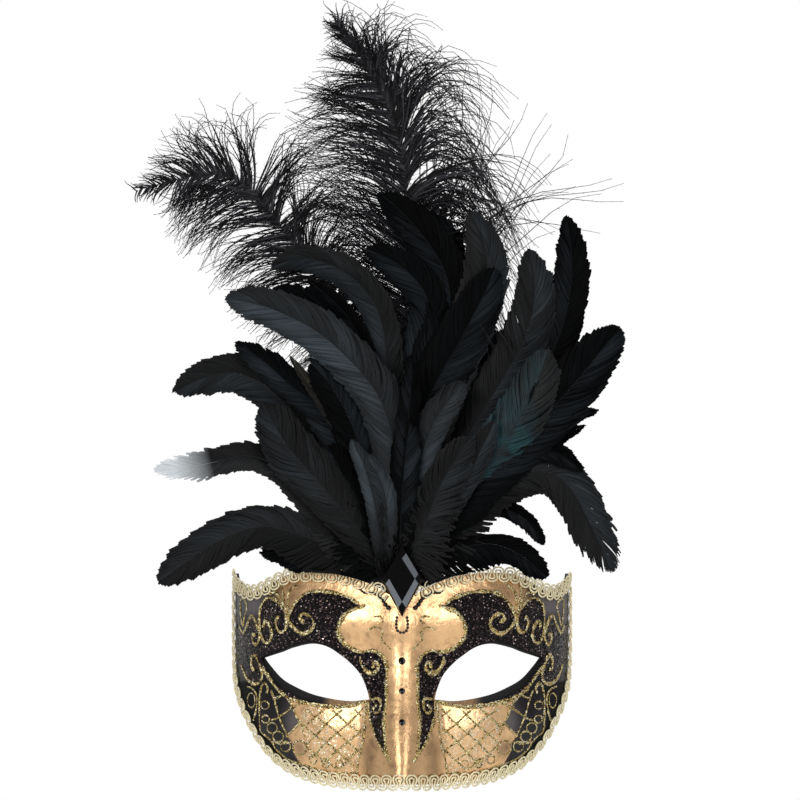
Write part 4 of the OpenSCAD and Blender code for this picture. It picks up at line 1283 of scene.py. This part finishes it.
def strands(points, up, half, thick):
    """Closed blades of three sides along (count, stations, 3) middle lines. up is the way that
    each blade's ridge points, half its half width and thick its height."""
    count, stations = points.shape[:2]
    along = unit(np.gradient(points, axis=1))
    side = unit(np.cross(up, along))
    up = np.cross(along, side)
    edge = side * half[..., None]
    ring = np.stack([points + edge, points + up * thick, points - edge], 2)
    base = (np.arange(count)[:, None, None] * stations + np.arange(stations - 1)[:, None]) * 3
    a = base + np.arange(3)
    b = base + (np.arange(3) + 1) % 3
    quads = np.stack([a, b, b + 3, a + 3], -1).reshape(-1, 4)
    first = np.arange(count)[:, None] * stations * 3
    last = first + (stations - 1) * 3
    ends = np.vstack([first + [0, 2, 1], last + [0, 1, 2]])
    return ring.reshape(-1, 3), quads, ends


# The shell's top edge as seen from the front.
EDGE_X = skin_at(*np.array(TOP_EDGE[::-1]).T)[:, 0]
EDGE_Z = np.array(TOP_EDGE[::-1])[:, 1]


def vane_shape(s):
    """Share of the full width at a share s of the vane: a power curve out, and an ellipse in."""
    s = np.clip(s, 0, 1)
    return np.minimum(s / 0.3, 1) ** 0.6 * np.sqrt(1 - np.clip((s - 0.68) / 0.32, 0, 1) ** 2.4)


def vane(shaft, side, pitch, rng):
    """One side of a feather. Each barb leaves the shaft forwards and outwards, bends towards
    the tip, and ends on the vane's outline; near the base it is loose down instead. Barbs
    hang together in locks with gaps between."""
    name = shaft.name
    low, downy, wispy = name in LOWEST, name in DOWNY, name in WISPY
    span = shaft.length - shaft.down
    roots = np.arange(shaft.down, shaft.down + 0.99 * span, pitch)
    count = len(roots)
    u = (roots - shaft.down) / span
    width = (shaft.left if side > 0 else shaft.right) * 1.12
    angle = np.radians(36 - 17 * u + rng.normal(0, 1.2, count))
    left = shaft.length - roots
    reach = left * (1 - np.exp(-width / np.tan(angle) / left))
    # How much of a barb is down: over the lowest 52 mm, or a share of the vane.
    fluff = np.clip(1 - u / (52 / span if low else 0.36 if downy else 0.2), 0, 1)
    ragged = 0.045 + (0.12 if wispy else 0.045) * ramp((u - 0.7) / 0.1)
    out = (width * vane_shape((roots + reach - shaft.down) / span)
           * (1 + ragged * rng.normal(0, 1, count)))
    spill = 2.3 if low else 1
    out = out * (1 - fluff) + width * (0.3 + 0.5 * rng.random(count)) * fluff * spill

    # Locks of barbs, 3 to 13 mm long, that draw together at their ends.
    cuts = np.cumsum(rng.uniform(3, 13, 80)) + shaft.down
    lock = np.searchsorted(cuts, roots)
    begin = np.concatenate([[shaft.down], cuts])[lock]
    t = (roots - begin) / (cuts[lock] - begin)
    pull = (rng.uniform(0.2, 1.1, 90)[lock]) * (0.5 - t) * (1 - fluff)
    lean = np.interp(u, np.linspace(0, 1, 9), rng.normal(0, 0.8, 9))

    # Along the shaft and away from it, at seven stations on each barb.
    v = np.array([0.0, 0.1, 0.26, 0.46, 0.66, 0.84, 1.0])
    loose = fluff[:, None]
    s = (roots[:, None] + reach[:, None] * v + lean[:, None] * v ** 2 + pull[:, None] * v ** 5)
    d = 0.1 * (1 - ramp((u - 0.8) / 0.15))[:, None] + out[:, None] * (1 - (1 - v) ** 1.55)
    wave = loose * np.sin(v * rng.uniform(4, 11, (count, 1)) + rng.uniform(0, 6, (count, 1)))
    s = s + wave * rng.normal(0.9, 0.5, (count, 1))
    place, way = shaft.at(s)
    left_way = left_of(way)
    place = place + side * d[..., None] * left_way
    # Down rests on the shell's top edge, and hangs to it from the lowest feathers.
    top = np.interp(np.abs(place[..., 0]), EDGE_X, EDGE_Z) + 0.6 + rng.random((count, 1))
    hang = np.maximum(place[..., 1] - 16 * low * loose * v ** 1.5, top)
    place[..., 1] = np.where(loose > 0, hang, place[..., 1])

    # Turn of the vane about its shaft, and the droop of each side away from it.
    a0, a1 = TWISTS.get(name, ((-1) ** shaft.k * 18, (-1) ** (shaft.k // 2) * 16))
    turn = np.radians(a0 + (a1 - a0) * ramp(u) + rng.normal(0, 5, count))[:, None]
    droop = np.radians(12 + 22 * v)
    room = 0.5 + 0.011 * np.linalg.norm(place - FAN_CENTRE, axis=-1)
    lift = -side * d * np.tan(turn) + 0.012 * d * d
    y_off = room * np.tanh(lift / room) + loose * v * rng.normal(0, 2, (count, 1))
    points = shaft.raised(place, y_off)
    across = np.stack([left_way[..., 0], 0 * way[..., 0], left_way[..., 1]], -1)
    tilt = np.clip(turn - side * droop, -0.5, 0.5)[..., None]
    up = OUT * np.cos(tilt) - across * np.sin(tilt)

    # Each barb is as wide as the space to its neighbours, so that the vane closes, and
    # thinner in the down and at a fraying tip.
    run = unit(np.gradient(points, axis=1))
    step = np.diff(points, axis=0)
    apart = np.linalg.norm(step - (step * run[1:]).sum(-1, keepdims=True) * run[1:], axis=-1)
    gap = np.maximum(np.vstack([apart[:1], apart]), np.vstack([apart, apart[-1:]]))
    half = np.clip(gap, 0.12, 1.3) * (0.64 - 0.12 * v ** 6) / np.cos(tilt[..., 0])
    half = half * (1 - (0.7 if downy else 0.35) * loose)
    half = half * (1 - 0.6 * wispy * ramp((u - 0.72) / 0.16)[:, None] * v)

    # Tone: by lock and by barb at random; by feather as painted sheen; along each barb as a painted
    # sheen band, lightest a third of the way out; by side, one half of the vane painted lighter as
    # lit and the other darker as shaded; and darker towards the base.
    lit = 0.15 * side * np.sign(a0)
    tone = (0.22 * rng.random(90)[lock] + 0.16 * rng.random(count)
            + 0.55 * SHEEN.get(name, 0.05) + lit) * (0.4 + 0.6 * ramp((u - 0.1) / 0.5))
    tone = np.repeat(np.clip(tone[:, None] * (1.15 - 0.5 * np.abs(v - 0.35)), 0, 1).ravel(), 3)
    reached = np.repeat(((s - shaft.down) / span).ravel(), 3)
    return strands(points, up, half, 0.06), tone, reached


def rachis(shaft, thick, tip):
    """The quill and shaft: a round tapered rod along the middle line."""
    s = np.linspace(0, shaft.length * 0.97, int(shaft.length / 2.2))
    place, _ = shaft.at(s)
    path = shaft.raised(place, -0.08)
    taper = (thick + (tip - thick) * (s / shaft.length) ** 0.8)[:, None]
    rod = round_cord(path, np.broadcast_to(OUT, path.shape), taper)
    return rod, np.full(len(rod[0]), 0.5), np.repeat(s / shaft.length, 7)


def feather_piece(name, node, sections, material, slot):
    """Joins a feather's parts into one piece with its barbs' tones and reach."""
    piece = build(name, *joined([part for part, _, _ in sections]),
                  attributes={"tone": np.concatenate([t for _, t, _ in sections]),
                              "reach": np.concatenate([r for _, _, r in sections])}, flat=True)
    return finished(piece, material, slot, node)


class MASK_OT_hackles(bpy.types.Operator):
    """Makes the cock and goose feathers, each barb by barb round its shaft"""
    bl_idname = "mask.hackles"
    bl_label = "Hackle feathers"

    def execute(self, context):
        s = context.scene.mask_crest_settings
        black = feather_material("dyed_goose_feather", list(s.black), specular=0.03)
        satin = feather_material("dyed_cock_tail_feather", list(s.black), specular=0.14)
        special = {
            "brown_left": (feather_material("undyed_brown_cock_feather", list(s.brown)),
                           "brown_feather"),
            "iridescent": (feather_material("green_cock_tail_feather", list(s.green), list(s.blue),
                                            roughness=0.45), "iridescent_feather"),
            "pale_tip_left": (feather_material("goose_feather_with_bare_tip", list(s.black),
                                               tip=list(s.pale)), "pale_tipped_feather")}
        for k, (name, *_) in enumerate(HACKLES):
            rng = np.random.default_rng(s.seed * 100 + k)
            shaft = Shaft(k)
            sections = [vane(shaft, side, s.barb_pitch / MM, rng) for side in (1, -1)]
            sections.append(rachis(shaft, 0.45, 0.12))
            plain = satin if SHEEN.get(name, 0) > 0.35 else black
            material, slot = special.get(name, (plain, "black_feather"))
            feather_piece("plume_" + name, "feather_" + name, sections, material, slot)
        return {"FINISHED"}


# How each side of an ostrich plume lies: the longest strand, its angle to the shaft low down
# and at the tip, how much it droops, and how far apart the strands stand, in pitches.
PLUME_SIDES = {"ostrich_top": {1: (62, 56, 40, 0.3, 0.62), -1: (86, 42, 28, 1.7, 0.5)},
               "ostrich_left": {1: (52, 62, 38, 0.75, 0.8), -1: (52, 66, 40, 0.7, 0.8)},
               "ostrich_right": {1: (40, 46, 28, 0.3, 1), -1: (112, 34, 22, 0.02, 5.5)}}
# Plumes whose vane ends short of the shaft's full length.
SHORT_PLUMES = {"ostrich_right": 0.62}
BARBULES = 20                  # barbules on each strand


def barbules(points, run, size, rng):
    """Thin pyramids on three points, up to 5 mm long, that stand off each strand by turns and
    get shorter towards its end. points and run are the strands' places and directions."""
    count, stations = points.shape[:2]
    v = np.linspace(0.03, 0.985, BARBULES)
    i = np.minimum((v * (stations - 1)).astype(int), stations - 2)
    f = (v * (stations - 1) - i)[:, None]
    foot = points[:, i] * (1 - f) + points[:, i + 1] * f
    run = unit(run[:, i] * (1 - f) + run[:, i + 1] * f)
    turn = np.where(np.arange(BARBULES) % 2 == 0, 1.0, -1.0)[:, None]
    flat = unit(np.cross(np.broadcast_to(OUT, run.shape), run))
    lie = rng.normal(0, 0.45, (count, BARBULES, 1))
    reach = rng.uniform(2.4, 4.8, (count, BARBULES, 1)) * (1 - 0.8 * v[:, None])
    reach = reach * np.minimum(size / 26, 1)[:, None, None]
    tip = foot + reach * unit(run * 1.3 + flat * turn + OUT * lie)
    wide = 0.15
    corners = np.stack([foot + flat * wide, foot + OUT * wide, foot - run * wide * 2, tip], 2)
    base = np.arange(count * BARBULES)[:, None, None] * 4
    faces = base + np.array([[0, 1, 2], [0, 3, 1], [1, 3, 2], [2, 3, 0]])
    # A pyramid whose tip lies on its base's other side has its faces turned over.
    d, e, g = (corners[:, :, k] - corners[:, :, 0] for k in (1, 2, 3))
    wrong = ((np.cross(d, e) * g).sum(-1) > 0).ravel()
    faces[wrong] = faces[wrong][:, :, ::-1]
    return corners.reshape(-1, 3), np.zeros((0, 4), int), faces.reshape(-1, 3)


def plume_side(shaft, side, pitch, rng):
    """One side of an ostrich plume. Long strands leave the shaft, turn down by degrees as they
    run, and draw together in locks; each has short barbules that stand off it by turns."""
    longest, low, high, droop, spread = PLUME_SIDES[shaft.name][side]
    span = shaft.length - shaft.start
    end = SHORT_PLUMES.get(shaft.name, 0.985)
    roots = np.arange(shaft.start, shaft.start + end * span, pitch * spread)
    roots = roots + rng.normal(0, pitch * 0.3, len(roots))
    u = np.clip((roots - shaft.start) / span / end, 0, 1)
    kept = rng.random(len(roots)) > 0.6 * ramp((u - 0.72) / 0.28)
    roots, u = roots[kept], u[kept]
    count = len(roots)
    size = longest * (0.66 + 0.36 * rng.random(count)) * (0.6 + 0.4 * np.minimum(u / 0.2, 1))
    size = size * (1 - 0.85 * ramp((u - 0.6) / 0.4))

    # Locks of 5 to 14 strands lean, curl and droop together, and each strand a little alone.
    lock = np.searchsorted(np.cumsum(rng.uniform(5, 14, 90)), np.arange(count))

    def by_lock(draw, *limits):
        """One random number for each lock, given to all its strands."""
        return draw(*limits, 91)[lock]

    lean = by_lock(rng.normal, 0, 10)
    angle = np.radians(low + (high - low) * u ** 1.4 + lean + rng.normal(0, 6, count))
    v = np.linspace(0, 1, 9)
    place, way = shaft.at(roots)
    left_way = left_of(way)
    heading = (angle[:, None] - np.radians(by_lock(rng.normal, 0, 20))[:, None] * v
               - np.radians(rng.normal(0, 26, count))[:, None] * v ** 2.5)
    waves = 2 * math.pi * v * by_lock(rng.uniform, 0.7, 1.5)[:, None]
    heading = heading + 0.3 * np.sin(waves + by_lock(rng.uniform, 0, 6)[:, None]) * v
    go = (way[:, None] * np.cos(heading)[..., None]
          + side * left_way[:, None] * np.sin(heading)[..., None])
    fall = (droop * by_lock(rng.uniform, 0.5, 1.4) * rng.uniform(0.8, 1.2, count)
            * (1.1 - 0.9 * u ** 2))
    go = unit(go + fall[:, None, None] * (v[:, None] ** 1.2) * np.array([0.0, -1.6]))
    step = np.concatenate([np.zeros((count, 1, 2)), (go[:, 1:] + go[:, :-1]) / 2], 1)
    track = place[:, None] + np.cumsum(step, 1) * (size / (len(v) - 1))[:, None, None]
    depth = (by_lock(rng.normal, 0, 0.13) + rng.normal(0, 0.05, count))[:, None]
    depth = depth * size[:, None] * v ** 1.3
    points = shaft.raised(track, depth + 0.5 * np.sin(5 * v + rng.uniform(0, 6, (count, 1))))

    half = 0.36 * (1 - 0.75 * v) * np.ones((count, 1))
    blades = strands(points, np.broadcast_to(OUT, points.shape), half, 0.16)
    tone = rng.random(count)
    parts = joined([blades, barbules(points, unit(np.gradient(points, axis=1)), size, rng)])
    per_strand = (len(v) * 3, BARBULES * 4)
    tones, reach = (np.concatenate([np.repeat(of, n) for n in per_strand]) for of in (tone, u))
    return parts, tones, reach


class MASK_OT_ostrich(bpy.types.Operator):
    """Makes the three ostrich plumes with their strands and barbules"""
    bl_idname = "mask.ostrich"
    bl_label = "Ostrich plumes"

    def execute(self, context):
        s = context.scene.mask_crest_settings
        material = feather_material("dyed_ostrich_plume", list(s.ostrich), roughness=0.55,
                                    specular=0.15)
        for k in range(len(HACKLES), len(PLUMES)):
            rng = np.random.default_rng(s.seed * 1000 + k)
            shaft = Shaft(k)
            sections = [plume_side(shaft, side, s.strand_pitch / MM, rng) for side in (1, -1)]
            sections.append(rachis(shaft, 0.8, 0.2))
            feather_piece("plume_" + shaft.name, shaft.name, sections, material,
                          "ostrich_feather")
        return {"FINISHED"}


# ---- stage ----------------------------------------------------------------------------

def backdrop_paper():
    """Matt white paper with a faint tooth."""
    material, tree, shader = new_material("matt_backdrop_paper")
    tooth = noise(tree, object_place(tree), 3 * MM, 2)
    shade = ramped(tree, tooth, [(0.3, linear("#e9e9e7")), (0.7, linear("#f3f3f1"))])
    plug(tree, shader, {"Base Color": shade, "Roughness": 0.9})
    return material


def soft_light(name, place, target, power, size):
    """A square soft box that faces a target."""
    lamp = bpy.data.lights.new(name, "AREA")
    lamp.energy = power
    lamp.size = size
    holder = bpy.data.objects.new(name, lamp)
    holder.location = place
    holder.rotation_euler = (Vector(target) - Vector(place)).to_track_quat("-Z", "Y").to_euler()
    bpy.context.scene.collection.objects.link(holder)


class MASK_OT_stage(bpy.types.Operator):
    """Sets the floor, the soft boxes, the white surroundings and the camera"""
    bl_idname = "mask.stage"
    bl_label = "Stage"

    def execute(self, context):
        scene = context.scene
        s = scene.mask_stage_settings
        x, y = np.meshgrid(np.linspace(-1500, 1500, 9), np.linspace(-1500, 1500, 9))
        sheet = np.stack([x, y, np.full_like(x, -s.floor_drop / MM)], -1)
        floor = build("floor", sheet, grid_faces(9, 9))
        floor.data.materials.append(backdrop_paper())

        middle = (0, 0, 0.09)
        soft_light("key_light", (-1.0, -2.0, 0.66), middle, s.key, 0.9)
        soft_light("fill_light", (1.0, -2.0, 0.6), middle, s.fill, 0.9)
        soft_light("top_light", (0.3, 0.8, 1.6), middle, s.fill, 0.9)

        world = bpy.data.worlds.new("white_surroundings")
        world.use_nodes = True
        tree = world.node_tree
        tree.nodes.clear()
        seen = add(tree, "LightPath").outputs["Is Camera Ray"]
        lit = add(tree, "Background", {"Color": (1, 1, 1, 1), "Strength": s.sky})
        plain = add(tree, "Background", {"Color": (1, 1, 1, 1), "Strength": 1.0})
        mixed = add(tree, "MixShader", {0: seen, 1: lit.outputs[0], 2: plain.outputs[0]})
        add(tree, "OutputWorld", {"Surface": mixed.outputs[0]})
        scene.world = world
        scene.view_settings.view_transform = "Standard"

        camera = bpy.data.cameras.new("camera")
        camera.lens = s.lens
        camera.sensor_width = 36
        camera.clip_end = 20
        holder = bpy.data.objects.new("camera", camera)
        holder.location = (-0.001, -s.distance, s.eye_height)
        holder.rotation_euler = (math.pi / 2, 0, 0)
        scene.collection.objects.link(holder)
        scene.camera = holder
        return {"FINISHED"}


# ---- add-on ---------------------------------------------------------------------------

OPERATORS = [MASK_OT_shell, MASK_OT_lines, MASK_OT_braid, MASK_OT_jewels, MASK_OT_backing,
             MASK_OT_hackles, MASK_OT_ostrich, MASK_OT_stage]


class MASK_PT_panel(bpy.types.Panel):
    """Lists the mask's pieces and their settings"""
    bl_idname = "MASK_PT_panel"
    bl_label = "Feathered half mask"
    bl_space_type = "VIEW_3D"
    bl_region_type = "UI"
    bl_category = "Mask"

    def draw(self, context):
        for operator in OPERATORS:
            self.layout.operator(operator.bl_idname)
        for name, group in GROUPS.items():
            box = self.layout.box()
            for prop in group.__annotations__:
                box.prop(getattr(context.scene, name), prop)


def register():
    for group in GROUPS.values():
        bpy.utils.register_class(group)
    for name, group in GROUPS.items():
        setattr(bpy.types.Scene, name, PointerProperty(type=group))
    for cls in OPERATORS + [MASK_PT_panel]:
        bpy.utils.register_class(cls)


def unregister():
    for cls in reversed(OPERATORS + [MASK_PT_panel]):
        bpy.utils.unregister_class(cls)
    for name in GROUPS:
        delattr(bpy.types.Scene, name)
    for group in reversed(list(GROUPS.values())):
        bpy.utils.unregister_class(group)


def main():
    register()
    for operator in OPERATORS:
        group, call = operator.bl_idname.split(".")
        getattr(getattr(bpy.ops, group), call)()


if __name__ == "__main__":
    main()
